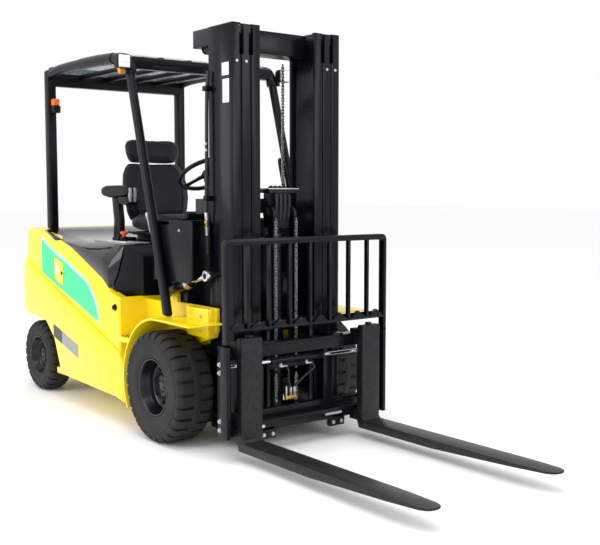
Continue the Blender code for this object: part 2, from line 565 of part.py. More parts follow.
shifter = box("side_shifter", (SHIFT_X, SHIFT_X + 0.037), (-0.4915, 0.4915), (0.486, 0.550))
join(shifter, box("lower_bar", (SHIFT_X, SHIFT_X + 0.037), (-0.4915, 0.4915), (0.112, 0.164)))
for side in (-1, 1):
    ys = sorted((side * 0.190, side * 0.260))
    join(shifter, box("upright", (SHIFT_X, SHIFT_X + 0.037), ys, (0.120, 0.540)))
    join(shifter, box("top_hook", (AX + 0.406, SHIFT_X + 0.037), ys, (0.5405, 0.560)))
    join(shifter, box("low_hook", (AX + 0.406, SHIFT_X + 0.037), ys, (0.104, 0.1295)))
place(shifter, (AX, 0, TILT_Z))
paint(shifter, *BLACK)

shift_cyl = rod("side_shift_cylinder", (AX + 0.456, -0.170, RAM_Z), (AX + 0.456, 0.170, RAM_Z), 0.0175)
for side in (-1, 1):
    join(shift_cyl, rod("ram", (AX + 0.456, side * 0.160, RAM_Z), (AX + 0.456, side * 0.430, RAM_Z), 0.010, 24))
    ys = sorted((side * 0.425, side * 0.445))
    join(shift_cyl, box("ram_end", (AX + 0.4363, AX + 0.474), ys, (RAM_Z - 0.030, RAM_Z + 0.030)))
    join(shift_cyl, box("ram_post", (AX + 0.4363, AX + 0.445), ys, (0.180, 0.490)))
paint(shift_cyl, *CHROME)

rest = box("load_backrest", (AX + 0.545, AX + 0.575), (-REST_Y, REST_Y), (REST_TOP - 0.030, REST_TOP))
join(rest, box("cross_member", (AX + 0.545, AX + 0.575), (-REST_Y, REST_Y), (0.625, 0.665)))
for index in range(-3, 4):
    y = index * 0.1275
    join(rest, box("bar", (AX + 0.548, AX + 0.572), (y - 0.009, y + 0.009), (0.640, REST_TOP - 0.010)))
for side in (-1, 1):
    ys = sorted((side * 0.492, side * REST_Y))
    join(rest, box("post", (AX + 0.490, AX + 0.575), ys, (0.118, 0.560)))
    join(rest, box("post_upper", (AX + 0.535, AX + 0.575), ys, (0.550, REST_TOP)))
place(rest, (AX, 0, TILT_Z))
paint(rest, *BLACK)

for side in (-1, 1):
    label = "right" if side < 0 else "left"
    tip = FORK_FACE + FORK_LEN
    blade = [(FORK_FACE - FORK_T, FORK_Z + 0.040), (FORK_FACE - 0.030, FORK_Z), (FORK_FACE + 0.500, FORK_Z)]
    blade += [(tip, FORK_Z + FORK_T - 0.010), (tip, FORK_Z + FORK_T), (FORK_FACE + 0.012, FORK_Z + FORK_T)]
    blade += [(FORK_FACE, FORK_Z + FORK_T + 0.012)]
    blade += [(FORK_FACE, 0.600), (FORK_FACE - FORK_T + 0.006, 0.600), (FORK_FACE - FORK_T, 0.585)]
    y = side * FORK_Y
    fork = plate("fork_" + label, blade, y - FORK_W / 2, y + FORK_W / 2)
    ys = (y - FORK_W / 2 + 0.005, y + FORK_W / 2 - 0.005)
    hook = [(SHIFT_X + 0.010, 0.5503), (SHIFT_X + 0.0373, 0.5503), (SHIFT_X + 0.0373, 0.490)]
    hook += [(FORK_FACE - FORK_T + 0.005, 0.490), (FORK_FACE - FORK_T + 0.005, 0.582), (SHIFT_X + 0.010, 0.575)]
    join(fork, plate("top_hook", hook, ys[0], ys[1]))
    hook = [(SHIFT_X + 0.010, 0.1117), (SHIFT_X + 0.010, 0.088), (FORK_FACE - FORK_T + 0.005, 0.088)]
    hook += [(FORK_FACE - FORK_T + 0.005, 0.150), (SHIFT_X + 0.0373, 0.150), (SHIFT_X + 0.0373, 0.1117)]
    join(fork, plate("low_hook", hook, ys[0], ys[1]))
    place(fork, (AX, 0, TILT_Z))
    paint(fork, *STEEL)

# ---- tilt cylinders -----------------------------------------------------------------
frame_eye = Vector((AX - 0.140, 0, 0.765))
mast_eye = Vector((AX + 0.250, 0, 0.875))
reach = (mast_eye - frame_eye).length
along = (mast_eye - frame_eye).normalized()
for side in (-1, 1):
    label = "right" if side < 0 else "left"
    y = side * TILT_CYL_Y
    start = frame_eye + Vector((0, y, 0))
    end = mast_eye + Vector((0, y, 0))
    barrel = rod("tilt_cylinder_" + label, start + along * 0.028, start + along * 0.250, 0.028)
    join(barrel, rod("eye", start + Vector((0, -0.015, 0)), start + Vector((0, 0.015, 0)), 0.030))
    bored = solid(barrel)
    cut(bored, rod("pin_hole", start + Vector((0, -0.05, 0)), start + Vector((0, 0.05, 0)), 0.012 + GAP, 24))
    cut(bored, rod("ram_bore", start + along * 0.045, start + along * 0.300, 0.0162))
    bored.name = "tilt_cylinder_" + label
    place(bored, start)
    paint(bored, *BLACK)
    ram = rod("tilt_rod_" + label, start + along * 0.120, end - along * 0.020, 0.016)
    join(ram, rod("eye", end + Vector((0, -0.015, 0)), end + Vector((0, 0.015, 0)), 0.027))
    bored = solid(ram)
    cut(bored, rod("pin_hole", end + Vector((0, -0.05, 0)), end + Vector((0, 0.05, 0)), 0.0152, 24))
    bored.name = "tilt_rod_" + label
    place(bored, start)
    paint(bored, *CHROME)

# ---- lamps --------------------------------------------------------------------------
for side in (-1, 1):
    label = "right" if side < 0 else "left"
    ys = sorted((side * 0.5003, side * 0.575))
    lamp = box("work_lamp_" + label, (AX - 0.400, AX - 0.350), ys, (1.955, 2.030))
    soften(lamp, 0.006, 2)
    paint(lamp, *LAMP)
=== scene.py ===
import json
import math

import bmesh
import bpy
from mathutils import Matrix, Vector

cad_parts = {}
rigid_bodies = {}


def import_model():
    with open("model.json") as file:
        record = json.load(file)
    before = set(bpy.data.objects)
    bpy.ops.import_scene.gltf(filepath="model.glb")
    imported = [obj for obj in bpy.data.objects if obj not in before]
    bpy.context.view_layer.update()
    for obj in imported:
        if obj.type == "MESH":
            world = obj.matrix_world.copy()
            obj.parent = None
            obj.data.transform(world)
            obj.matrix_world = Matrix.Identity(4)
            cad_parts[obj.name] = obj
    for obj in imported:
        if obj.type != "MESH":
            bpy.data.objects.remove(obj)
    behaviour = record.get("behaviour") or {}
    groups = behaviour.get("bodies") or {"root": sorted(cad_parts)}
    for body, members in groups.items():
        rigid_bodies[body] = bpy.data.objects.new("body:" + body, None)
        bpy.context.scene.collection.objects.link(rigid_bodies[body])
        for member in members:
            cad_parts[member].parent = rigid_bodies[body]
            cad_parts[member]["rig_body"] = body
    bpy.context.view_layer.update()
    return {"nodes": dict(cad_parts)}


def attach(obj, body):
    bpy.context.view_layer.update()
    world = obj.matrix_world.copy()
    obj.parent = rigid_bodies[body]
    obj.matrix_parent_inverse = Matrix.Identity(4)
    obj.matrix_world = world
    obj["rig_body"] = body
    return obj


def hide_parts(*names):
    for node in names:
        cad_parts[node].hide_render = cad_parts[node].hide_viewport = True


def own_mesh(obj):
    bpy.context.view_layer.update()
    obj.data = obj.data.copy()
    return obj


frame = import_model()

# ---- camera, light and floor --------------------------------------------------------
# A plain studio: a standing eye about five metres off the right front corner, a pale
# seamless floor, and large soft lamps overhead and on both sides.
AX = 0.12  # the drive axle, in world x; most lengths are given from it
SENSOR_MM = 36.0
LENS_MM = 57.0402
eye = Vector((AX + 4.2825, -2.965, 1.2919))
heading = math.radians(52.05)
pitch = math.radians(4.803)
look = Vector((-math.sin(heading) * math.cos(pitch), math.cos(heading) * math.cos(pitch), -math.sin(pitch)))
lens = bpy.data.cameras.new("camera")
lens.sensor_width = SENSOR_MM
lens.lens = LENS_MM
lens.clip_end = 200.0
camera = bpy.data.objects.new("camera", lens)
camera.matrix_world = Matrix.Translation(eye) @ look.to_track_quat("-Z", "Y").to_matrix().to_4x4()
bpy.context.scene.collection.objects.link(camera)
bpy.context.scene.camera = camera

bm = bmesh.new()
bmesh.ops.create_grid(bm, x_segments=1, y_segments=1, size=60.0)
floor_mesh = bpy.data.meshes.new("studio_floor")
bm.to_mesh(floor_mesh)
bm.free()
floor = bpy.data.objects.new("studio_floor", floor_mesh)
bpy.context.scene.collection.objects.link(floor)
pale = bpy.data.materials.new("pale floor")
pale.use_nodes = True
pale.node_tree.nodes["Principled BSDF"].inputs["Base Color"].default_value = (0.97, 0.97, 0.97, 1.0)
pale.node_tree.nodes["Principled BSDF"].inputs["Roughness"].default_value = 0.9
floor_mesh.materials.append(pale)

world = bpy.data.worlds.new("studio")
world.use_nodes = True
world.node_tree.nodes["Background"].inputs["Color"].default_value = (1.0, 1.0, 1.0, 1.0)
world.node_tree.nodes["Background"].inputs["Strength"].default_value = 1.0
bpy.context.scene.world = world
bpy.context.scene.view_settings.view_transform = "Standard"


def soft_lamp(name, place, aim, wide, tall, power):
    lamp = bpy.data.lights.new(name, "AREA")
    lamp.shape = "RECTANGLE"
    lamp.size = wide
    lamp.size_y = tall
    lamp.energy = power
    obj = bpy.data.objects.new(name, lamp)
    turn = (Vector(aim) - Vector(place)).to_track_quat("-Z", "Y").to_matrix().to_4x4()
    obj.matrix_world = Matrix.Translation(Vector(place)) @ turn
    bpy.context.scene.collection.objects.link(obj)


soft_lamp("overhead_softbox", (1.0, -1.0, 5.0), (0.0, 0.0, 0.6), 4.0, 4.0, 110.0)
soft_lamp("right_softbox", (-1.5, -5.5, 2.6), (-0.5, 0.0, 0.8), 3.0, 3.0, 110.0)
soft_lamp("front_softbox", (6.0, 2.5, 2.8), (0.5, 0.0, 0.9), 2.5, 2.5, 60.0)


# ---- frame: side panels, fenders, front rails ---------------------------------------
# Pressed and welded steel plate, 6 to 12 mm thick, primed and sprayed in one bright
# yellow enamel. The lower panel is pressed out 20 mm below a sloping crease.
def srgb(code):
    """Linear colour from an sRGB hex value."""
    parts = [int(code[i:i + 2], 16) / 255.0 for i in (1, 3, 5)]
    return tuple(c / 12.92 if c <= 0.04045 else ((c + 0.055) / 1.055) ** 2.4 for c in parts) + (1.0,)


def add(tree, kind, inputs=None, **settings):
    """Adds a node, sets its settings, and sets or links its inputs."""
    made = tree.nodes.new(kind)
    for key, value in settings.items():
        setattr(made, key, value)
    for key, value in (inputs or {}).items():
        if isinstance(value, bpy.types.NodeSocket):
            tree.links.new(value, made.inputs[key])
        else:
            made.inputs[key].default_value = value
    return made


def finish(title, base, other, rough, spread, grain_mm, relief_mm, metal=0.0, coat=0.0, dust=0.0,
           patch_mm=240.0, gleam=0.5):
    """A surface with two tones in soft patches, a fine grain, and dust that gathers low down."""
    mat = bpy.data.materials.new(title)
    mat.use_nodes = True
    tree = mat.node_tree
    shader = tree.nodes["Principled BSDF"]
    shader.inputs["Metallic"].default_value = metal
    shader.inputs["Coat Weight"].default_value = coat
    shader.inputs["Coat Roughness"].default_value = 0.08
    shader.inputs["Specular IOR Level"].default_value = gleam
    where = add(tree, "ShaderNodeTexCoord").outputs["Object"]
    patches = add(tree, "ShaderNodeTexNoise", {"Vector": where, "Scale": 1000.0 / patch_mm, "Detail": 4.0})
    spots = add(tree, "ShaderNodeTexNoise", {"Vector": where, "Scale": 1000.0 / grain_mm, "Detail": 3.0})
    tone = add(tree, "ShaderNodeMapRange",
               {"Value": patches.outputs["Fac"], "From Min": 0.42, "From Max": 0.68})
    colour = add(tree, "ShaderNodeMix", {0: tone.outputs[0], 6: srgb(base), 7: srgb(other)}, data_type="RGBA")
    last = colour.outputs[2]
    if dust > 0.0:
        height = add(tree, "ShaderNodeSeparateXYZ", {"Vector": where})
        low = add(tree, "ShaderNodeMapRange",
                  {"Value": height.outputs["Z"], "From Min": 0.75, "From Max": 0.05})
        broken = add(tree, "ShaderNodeMapRange",
                     {"Value": spots.outputs["Fac"], "From Min": 0.35, "From Max": 0.75})
        amount = add(tree, "ShaderNodeMath", {0: low.outputs[0], 1: broken.outputs[0]}, operation="MULTIPLY")
        scaled = add(tree, "ShaderNodeMath", {0: amount.outputs[0], 1: dust}, operation="MULTIPLY")
        dirty = add(tree, "ShaderNodeMix", {0: scaled.outputs[0], 6: last, 7: srgb("#8A8478")},
                    data_type="RGBA")
        last = dirty.outputs[2]
    tree.links.new(last, shader.inputs["Base Color"])
    gloss = add(tree, "ShaderNodeMapRange", {"Value": spots.outputs["Fac"], "From Min": 0.3, "From Max": 0.7,
                                             "To Min": rough - spread, "To Max": rough + spread})
    tree.links.new(gloss.outputs[0], shader.inputs["Roughness"])
    relief = add(tree, "ShaderNodeBump",
                 {"Height": spots.outputs["Fac"], "Distance": relief_mm / 1000.0, "Strength": 0.6})
    tree.links.new(relief.outputs["Normal"], shader.inputs["Normal"])
    return mat


# Two-pack yellow enamel, sprayed: a wet gloss with fine orange peel about 3 mm across.
yellow_enamel = finish("yellow enamel sprayed", "#F8DA08", "#EFCE05", 0.26, 0.06, 3.0, 0.03, coat=0.35,
                       dust=0.20, gleam=0.4)
# Satin black enamel over weldments: slightly blue, with soft broken reflections.
black_enamel = finish("black enamel satin", "#07090E", "#0B0E15", 0.32, 0.08, 2.5, 0.04, coat=0.04,
                      dust=0.06, gleam=0.16)
# Mottled textured black ABS, moulded: dull sheen with a leather-like grain 1.5 mm across.
black_abs = finish("black abs moulded", "#090B0F", "#0E1116", 0.36, 0.08, 1.5, 0.08, gleam=0.18)
# Zinc-plated steel: pale, a little blue, fine crystalline variation.
zinc = finish("zinc plate", "#C9CCD0", "#B4B8BD", 0.28, 0.08, 1.2, 0.02, metal=1.0, patch_mm=30.0)


def spot(x, y, z):
    """A place given from the drive axle."""
    return Vector((AX + x, y, z))


def xs(rear, front):
    """The world x of two places given from the drive axle."""
    return AX + rear, AX + front


def span(side, near, far):
    """The lower and higher y of two distances from the middle, on one side."""
    return sorted((side * near, side * far))


def body_of(node):
    return frame["nodes"][node]["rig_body"]


def put(title, mesh, material, body, smooth_angle=32.0):
    """Links a finished mesh, or a list of them, as a piece on a body, smooth between sharp edges."""
    if isinstance(mesh, list):
        mesh = gathered(mesh)
    mesh.materials.clear()
    mesh.materials.append(material)
    for face in mesh.polygons:
        face.use_smooth = True
    mesh.set_sharp_from_angle(angle=math.radians(smooth_angle))
    obj = bpy.data.objects.new(title, mesh)
    bpy.context.scene.collection.objects.link(obj)
    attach(obj, body)
    return obj


def baked(obj):
    """The evaluated mesh of an object in its place, with the object removed."""
    bpy.context.view_layer.update()
    mesh = bpy.data.meshes.new_from_object(obj.evaluated_get(bpy.context.evaluated_depsgraph_get()))
    mesh.transform(obj.matrix_world)
    bpy.data.objects.remove(obj, do_unlink=True)
    return mesh


def loose(title, bm):
    mesh = bpy.data.meshes.new(title)
    bm.to_mesh(mesh)
    bm.free()
    obj = bpy.data.objects.new(title, mesh)
    bpy.context.scene.collection.objects.link(obj)
    return obj


def bevelled(obj, width, segments=2, angle=28.0):
    step = obj.modifiers.new("edge", "BEVEL")
    step.width = width
    step.segments = segments
    step.limit_method = "ANGLE"
    step.angle_limit = math.radians(angle)
    step.use_clamp_overlap = False
    return obj


def slab(outline, low, high, plane="XZ", edge=0.003, segments=2):
    """Flat plate from an outline in world metres, low to high across its plane, edges rounded."""
    bm = bmesh.new()
    axes = {"XZ": (0, 2, 1), "YZ": (1, 2, 0), "XY": (0, 1, 2)}[plane]
    rows = []
    for level in (low, high):
        row = []
        for point in outline:
            co = [0.0, 0.0, 0.0]
            co[axes[0]] = point[0]
            co[axes[1]] = point[1]
            co[axes[2]] = level
            row.append(bm.verts.new(co))
        rows.append(row)
    bm.faces.new(rows[0])
    bm.faces.new(rows[1])
    for i in range(len(outline)):
        j = (i + 1) % len(outline)
        bm.faces.new((rows[0][i], rows[0][j], rows[1][j], rows[1][i]))
    bmesh.ops.recalc_face_normals(bm, faces=bm.faces)
    obj = loose("slab", bm)
    if edge > 0.0:
        bevelled(obj, edge, segments)
    return baked(obj)


def lofted(rings):
    """Closed rings of points joined into a capped solid."""
    bm = bmesh.new()
    rows = [[bm.verts.new(co) for co in ring] for ring in rings]
    for first, second in zip(rows, rows[1:]):
        for i in range(len(first)):
            j = (i + 1) % len(first)
            bm.faces.new((first[i], first[j], second[j], second[i]))
    bm.faces.new(rows[0])
    bm.faces.new(rows[-1])
    bmesh.ops.recalc_face_normals(bm, faces=bm.faces)
    return loose("lofted", bm)


def block(x, y, z, edge=0.003, segments=2):
    return slab([(x[0], z[0]), (x[1], z[0]), (x[1], z[1]), (x[0], z[1])], y[0], y[1], "XZ", edge, segments)


def gathered(meshes):
    """Several meshes in one."""
    bm = bmesh.new()
    for mesh in meshes:
        bm.from_mesh(mesh)
    made = bpy.data.meshes.new("gathered")
    bm.to_mesh(made)
    bm.free()
    return made


def arc(radius, first, last, count, x0, z0):
    """Points of an arc from one angle to another, in degrees."""
    found = []
    for step in range(count + 1):
        turn = math.radians(first + (last - first) * step / count)
        found.append((x0 + radius * math.cos(turn), z0 + radius * math.sin(turn)))
    return found


def axle_frame(points):
    return [(AX + x, z) for x, z in points]


SEAM = axle_frame([(-1.430, 1.058), (-1.065, 0.962), (-0.839, 0.874), (-0.652, 0.801), (-0.560, 0.735),
                   (-0.470, 0.716)])
HINGE_X = AX - 1.440
HINGE_Z = 1.060
FRONT_R = 0.290
frame_parts = []
for side in (-1, 1):
    upper = axle_frame([(-1.720, 1.060), (-1.460, 1.060)]) + SEAM
    upper += axle_frame([(-0.452, 0.716), (-0.452, 0.400), (-0.470, 0.180), (-1.200, 0.180), (-1.300, 0.390),
                         (-1.420, 0.486), (-1.720, 0.513)])
    frame_parts.append(slab(upper, *span(side, 0.480, 0.540), edge=0.012, segments=4))
    lower = axle_frame([(-1.720, 0.845), (-0.440, 0.410), (-0.375, 0.300), (-0.375, 0.133), (-0.476, 0.152),
                        (-1.203, 0.172), (-1.300, 0.382), (-1.420, 0.480), (-1.720, 0.506)])
    frame_parts.append(slab(lower, *span(side, 0.500, 0.560), edge=0.014, segments=4))
    rail = axle_frame([(-0.480, 0.700), (-0.480, 0.250), (-0.300, 0.250), (-0.200, 0.420), (0.260, 0.560),
                       (0.280, 0.600), (0.280, 0.710), (-0.100, 0.710), (-0.110, 0.795), (-0.170, 0.795),
                       (-0.180, 0.700)])
    frame_parts.append(slab(rail, *span(side, 0.355, 0.378), edge=0.003))
    arch = arc(0.345, 208, 92, 24, AX, FRONT_R) + [(AX + 0.340, 0.632), (AX + 0.340, 0.642)]
    arch += arc(0.357, 90, 208, 24, AX, FRONT_R)
    frame_parts += [slab(arch, *span(side, 0.370, 0.575), edge=0.003),
                    block(xs(0.060, 0.270), span(side, 0.360, 0.420), (0.560, 0.708), 0.004),
                    block(xs(-0.460, -0.348), span(side, 0.340, 0.545), (0.470, 0.4997), 0.004)]
frame_parts += [block(xs(-0.470, -0.450), (-0.535, 0.535), (0.180, 0.714), 0.004),
                block(xs(-1.330, -1.300), (-0.490, 0.490), (0.180, 0.480), 0.004),
                block(xs(-1.330, -0.452), (-0.530, 0.530), (0.160, 0.200), 0.004),
                block(xs(-0.460, -0.040), (-0.360, 0.360), (0.478, 0.5045), 0.002),
                block(xs(-0.200, -0.150), (-0.360, 0.360), (0.452, 0.480), 0.002)]
frame_shell = put("frame_weldment", frame_parts, yellow_enamel, "chassis")
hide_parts("chassis_frame")


# ---- frame fittings: steps, floor mat, bolts ----------------------------------------
# Ribbed rubber mat glued on the floor plate, punched grip strips on both steps, and the
# zinc-plated hexagon bolts of the frame. All of them repeat, so each is one shape copied.
def repeat_tree():
    """Copies its mesh Count times, each moved by Step and turned by Turn from the one before."""
    tree = bpy.data.node_groups.new("copies_in_a_row", "GeometryNodeTree")
    tree.interface.new_socket("Geometry", in_out="OUTPUT", socket_type="NodeSocketGeometry")
    tree.interface.new_socket("Geometry", in_out="INPUT", socket_type="NodeSocketGeometry")
    tree.interface.new_socket("Count", in_out="INPUT", socket_type="NodeSocketInt")
    tree.interface.new_socket("Step", in_out="INPUT", socket_type="NodeSocketVector")
    tree.interface.new_socket("Turn", in_out="INPUT", socket_type="NodeSocketVector")
    tree.interface.new_socket("Phase", in_out="INPUT", socket_type="NodeSocketFloat")
    tree.interface.new_socket("Material", in_out="INPUT", socket_type="NodeSocketMaterial")
    given = add(tree, "NodeGroupInput")
    index = add(tree, "GeometryNodeInputIndex")
    number = add(tree, "ShaderNodeMath", {0: index.outputs[0], 1: given.outputs["Phase"]}, operation="ADD")
    move = add(tree, "ShaderNodeVectorMath", {0: given.outputs["Step"], "Scale": number.outputs[0]},
               operation="SCALE")
    spin = add(tree, "ShaderNodeVectorMath", {0: given.outputs["Turn"], "Scale": number.outputs[0]},
               operation="SCALE")
    places = add(tree, "GeometryNodePoints", {"Count": given.outputs["Count"], "Position": move.outputs[0]})
    euler = add(tree, "FunctionNodeEulerToRotation", {0: spin.outputs[0]})
    copies = add(tree, "GeometryNodeInstanceOnPoints", {"Points": places.outputs[0],
                                                        "Instance": given.outputs["Geometry"],
                                                        "Rotation": euler.outputs[0]})
    real = add(tree, "GeometryNodeRealizeInstances", {0: copies.outputs[0]})
    coloured = add(tree, "GeometryNodeSetMaterial",
                   {"Geometry": real.outputs[0], "Material": given.outputs["Material"]})
    out = add(tree, "NodeGroupOutput")
    tree.links.new(coloured.outputs[0], out.inputs[0])
    return tree


COPIES = repeat_tree()


def repeated(mesh, count, step=(0, 0, 0), turn=(0, 0, 0), phase=0.0, at=(0, 0, 0), material=None):
    """A plain mesh of count copies, made round the origin and then moved to a place."""
    obj = bpy.data.objects.new("one", mesh)
    bpy.context.scene.collection.objects.link(obj)
    row = obj.modifiers.new("copies", "NODES")
    row.node_group = COPIES
    wanted = {"Count": count, "Step": step, "Turn": turn, "Phase": phase, "Material": material or zinc}
    for item in COPIES.interface.items_tree:
        if item.in_out == "INPUT" and item.name in wanted:
            row[item.identifier] = wanted[item.name]
    made = baked(obj)
    made.transform(Matrix.Translation(Vector(at)))
    return made


def tube(start, end, radius, sides=24, edge=0.0):
    """A round bar between two points."""
    start = Vector(start)
    end = Vector(end)
    bm = bmesh.new()
    bmesh.ops.create_cone(bm, cap_ends=True, segments=sides, radius1=radius, radius2=radius,
                          depth=(end - start).length)
    aim = (end - start).to_track_quat("Z", "Y").to_matrix().to_4x4()
    bmesh.ops.transform(bm, matrix=Matrix.Translation((start + end) / 2) @ aim, verts=bm.verts)
    obj = loose("tube", bm)
    if edge > 0.0:
        bevelled(obj, edge, 2, 50.0)
    return baked(obj)


def bolt(place, axis, across):
    """Hexagon head on a round washer, pointing along axis."""
    place = Vector(place)
    axis = Vector(axis).normalized()
    washer = tube(place, place + axis * across * 0.12, across * 0.72, 20, across * 0.03)
    head = tube(place + axis * across * 0.10, place + axis * across * 0.55, across * 0.56, 6, across * 0.06)
    return gathered([washer, head])


# Vulcanised black rubber sheet: matt, dusty in the ribs.
mat_rubber = finish("floor rubber ribbed", "#1C1D1F", "#2A2A2B", 0.75, 0.08, 2.0, 0.10)
rib = block((-0.003, 0.003), (-0.345, 0.345), (0.0, 0.0022), 0.0008, 1)
ribs = repeated(rib, 22, step=(0.014, 0, 0), at=spot(-0.425, 0, 0.5072), material=mat_rubber)
sheet_part = block(xs(-0.440, -0.118), (-0.352, 0.352), (0.5047, 0.5074), 0.001)
floor_mat = put("floor_mat", [sheet_part, ribs], mat_rubber, "chassis")
SIDES = ((-1, "right"), (1, "left"))
stud = tube((0, 0, 0), (0, 0, 0.0035), 0.006, 12, 0.001)
for side, label in SIDES:
    grips = []
    for x in (-0.435, -0.405, -0.375):
        grips.append(repeated(stud, 7, step=(0, 0.024, 0), at=spot(x, side * 0.455 - 0.072, 0.4997)))
    tread = put("step_grip_" + label, grips, black_enamel, "chassis")
fixings = []
for side in (-1, 1):
    fixings += [bolt(spot(0.205, side * 0.4202, 0.668), (0, side, 0), 0.013),
                bolt(spot(0.205, side * 0.4202, 0.595), (0, side, 0), 0.009)]
frame_bolts = put("frame_bolts", fixings, zinc, "chassis")
knobs = []
for side in (-1, 1):
    knobs += [tube(spot(-0.500, side * 0.5395, 0.655), spot(-0.500, side * 0.5460, 0.655), 0.019, 28, 0.002),
              tube(spot(-0.500, side * 0.5440, 0.655), spot(-0.500, side * 0.5560, 0.655), 0.013, 28, 0.003),
              block(xs(-0.503, -0.497), span(side, 0.5540, 0.5590), (0.644, 0.666), 0.001)]
panel_knobs = put("panel_lock_knobs", knobs, black_abs, "chassis")


# ---- side decals, charge flap and blank plate ---------------------------------------
# Printed vinyl film on both sides, green with a pale curved border, a small yellow steel
# flap over the charging socket, and a two-tone rating plate left blank.
def film_material(title, colour, rough):
    return finish(title, colour, colour, rough, 0.03, 8.0, 0.01, coat=0.3)


# Vinyl films and label stock: flat colour with a very fine grain under a clear coat.
green_film = film_material("green vinyl film printed", "#1FCF8B", 0.30)
cyan_film = film_material("pale vinyl border printed", "#9FE6F0", 0.30)
plate_grey = film_material("grey label stock", "#8B8F92", 0.40)
plate_dark = film_material("black label stock", "#1B1C1E", 0.40)
label_white = film_material("white label stock", "#ECECE8", 0.40)


def bow(points, count):
    """Smooth run of points through a few given ones."""
    found = []
    size = len(points)
    for i in range(size - 1):
        p0 = Vector(points[max(i - 1, 0)])
        p1 = Vector(points[i])
        p2 = Vector(points[i + 1])
        p3 = Vector(points[min(i + 2, size - 1)])
        for step in range(count):
            t = step / count
            place = 0.5 * ((2 * p1) + (p2 - p0) * t + (2 * p0 - 5 * p1 + 4 * p2 - p3) * t * t
                           + (3 * p1 - p0 - 3 * p2 + p3) * t * t * t)
            found.append(tuple(place))
    found.append(tuple(points[-1]))
    return found


curve = bow(axle_frame([(-1.503, 1.020), (-1.330, 0.945), (-1.142, 0.887), (-0.956, 0.822), (-0.855, 0.782),
                        (-0.781, 0.722), (-0.722, 0.648), (-0.690, 0.545)]), 6)
inner_curve = bow(axle_frame([(-1.503, 0.998), (-1.334, 0.925), (-1.150, 0.868), (-0.968, 0.803),
                              (-0.872, 0.766), (-0.802, 0.711), (-0.744, 0.642), (-0.712, 0.552)]), 6)
for side, label in SIDES:
    low, high = span(side, 0.5400, 0.5406)
    field = put("side_decal_" + label, slab(inner_curve + axle_frame([(-1.503, 0.786)]), low, high, edge=0.0),
                green_film, "chassis")
    border = put("decal_border_" + label, slab(curve + inner_curve[::-1], low, high, edge=0.0), cyan_film,
                 "chassis")
    low, high = span(side, 0.5398, 0.5450)
    flap_shape = axle_frame([(-1.304, 0.897), (-1.180, 0.858), (-1.180, 0.722), (-1.304, 0.758)])
    flap = put("charge_flap_" + label, slab(flap_shape, low, high, edge=0.002), yellow_enamel, "chassis")
    low, high = span(side, 0.5448, 0.5456)
    note = axle_frame([(-1.280, 0.850), (-1.235, 0.836), (-1.235, 0.790), (-1.280, 0.804)])
    tag = put("flap_label_" + label, slab(note, low, high, edge=0.0), label_white, "chassis")
    lock = put("flap_lock_" + label,
               tube(spot(-1.196, side * 0.5445, 0.800), spot(-1.196, side * 0.5490, 0.800),
                                          0.011, 24, 0.002), black_abs, "chassis")
    low, high = span(side, 0.5598, 0.5608)
    dark = slab(axle_frame([(-1.300, 0.400), (-1.300, 0.478), (-1.175, 0.445), (-1.175, 0.367)]), low, high,
                edge=0.0)
    grey = slab(axle_frame([(-1.175, 0.445), (-0.950, 0.386), (-0.950, 0.308), (-1.175, 0.367)]), low, high,
                edge=0.0)
    first = put("rating_plate_dark_" + label, dark, plate_dark, "chassis")
    second = put("rating_plate_grey_" + label, grey, plate_grey, "chassis")


# ---- heel panel ----------------------------------------------------------------------
# Moulded black panel in front of the battery, wrapped round both chamfered corners and
# bolted to the frame; the hood closes against its arched rear edge.
LID_R = 0.912


def lid_edge(radius, z):
    """The world x at a height on the arc that the hood's front edge follows as it opens."""
    return HINGE_X + math.sqrt(radius ** 2 - (HINGE_Z - z) ** 2)


def sweep(radius, low, high, count):
    found = []
    for step in range(count + 1):
        z = low + (high - low) * step / count
        found.append((lid_edge(radius, z), z))
    return found


def carve(base, other, kind):
    """Boolean of two meshes, as a new mesh."""
    first = bpy.data.objects.new("first", base)
    second = bpy.data.objects.new("second", other)
    bpy.context.scene.collection.objects.link(first)
    bpy.context.scene.collection.objects.link(second)
    step = first.modifiers.new("carve", "BOOLEAN")
    step.operation = kind
    step.solver = "EXACT"
    step.object = second
    made = baked(first)
    bpy.data.objects.remove(second, do_unlink=True)
    return made


def rounded(mesh, width, segments=2, angle=25.0):
    """The same mesh with its edges rounded."""
    bm = bmesh.new()
    bm.from_mesh(mesh)
    bmesh.ops.remove_doubles(bm, verts=bm.verts, dist=0.00002)
    bmesh.ops.dissolve_limit(bm, angle_limit=math.radians(0.5), verts=bm.verts, edges=bm.edges)
    return baked(bevelled(loose("rounded", bm), width, segments, angle))


def piping(points, radius, closed=False):
    """Round sewn piping along a line."""
    curve = bpy.data.curves.new("piping", "CURVE")
    curve.dimensions = "3D"
    curve.bevel_depth = radius
    curve.bevel_resolution = 3
    curve.use_fill_caps = True
    spline = curve.splines.new("POLY")
    spline.points.add(len(points) - 1)
    for point, co in zip(spline.points, points):
        point.co = (co[0], co[1], co[2], 1.0)
    spline.use_cyclic_u = closed
    obj = bpy.data.objects.new("piping", curve)
    bpy.context.scene.collection.objects.link(obj)
    return baked(obj)


heel = sweep(LID_R + 0.004, 0.712, 0.998, 10)
heel += axle_frame([(-0.505, 0.995), (-0.470, 0.965), (-0.4475, 0.935), (-0.4475, 0.712)])
heel_mesh = slab(heel, -0.5365, 0.5365, edge=0.0)
corner = axle_frame([(-1.200, 0.650), (-0.7165, 0.650), (-0.4475, 0.390)])
corner += [(x, -y) for x, y in reversed(corner)]
heel_mesh = carve(heel_mesh, slab(corner, 0.600, 1.200, "XY", 0.0), "INTERSECT")
heel_panel = put("heel_panel", rounded(heel_mesh, 0.005, 3), black_abs, "chassis")


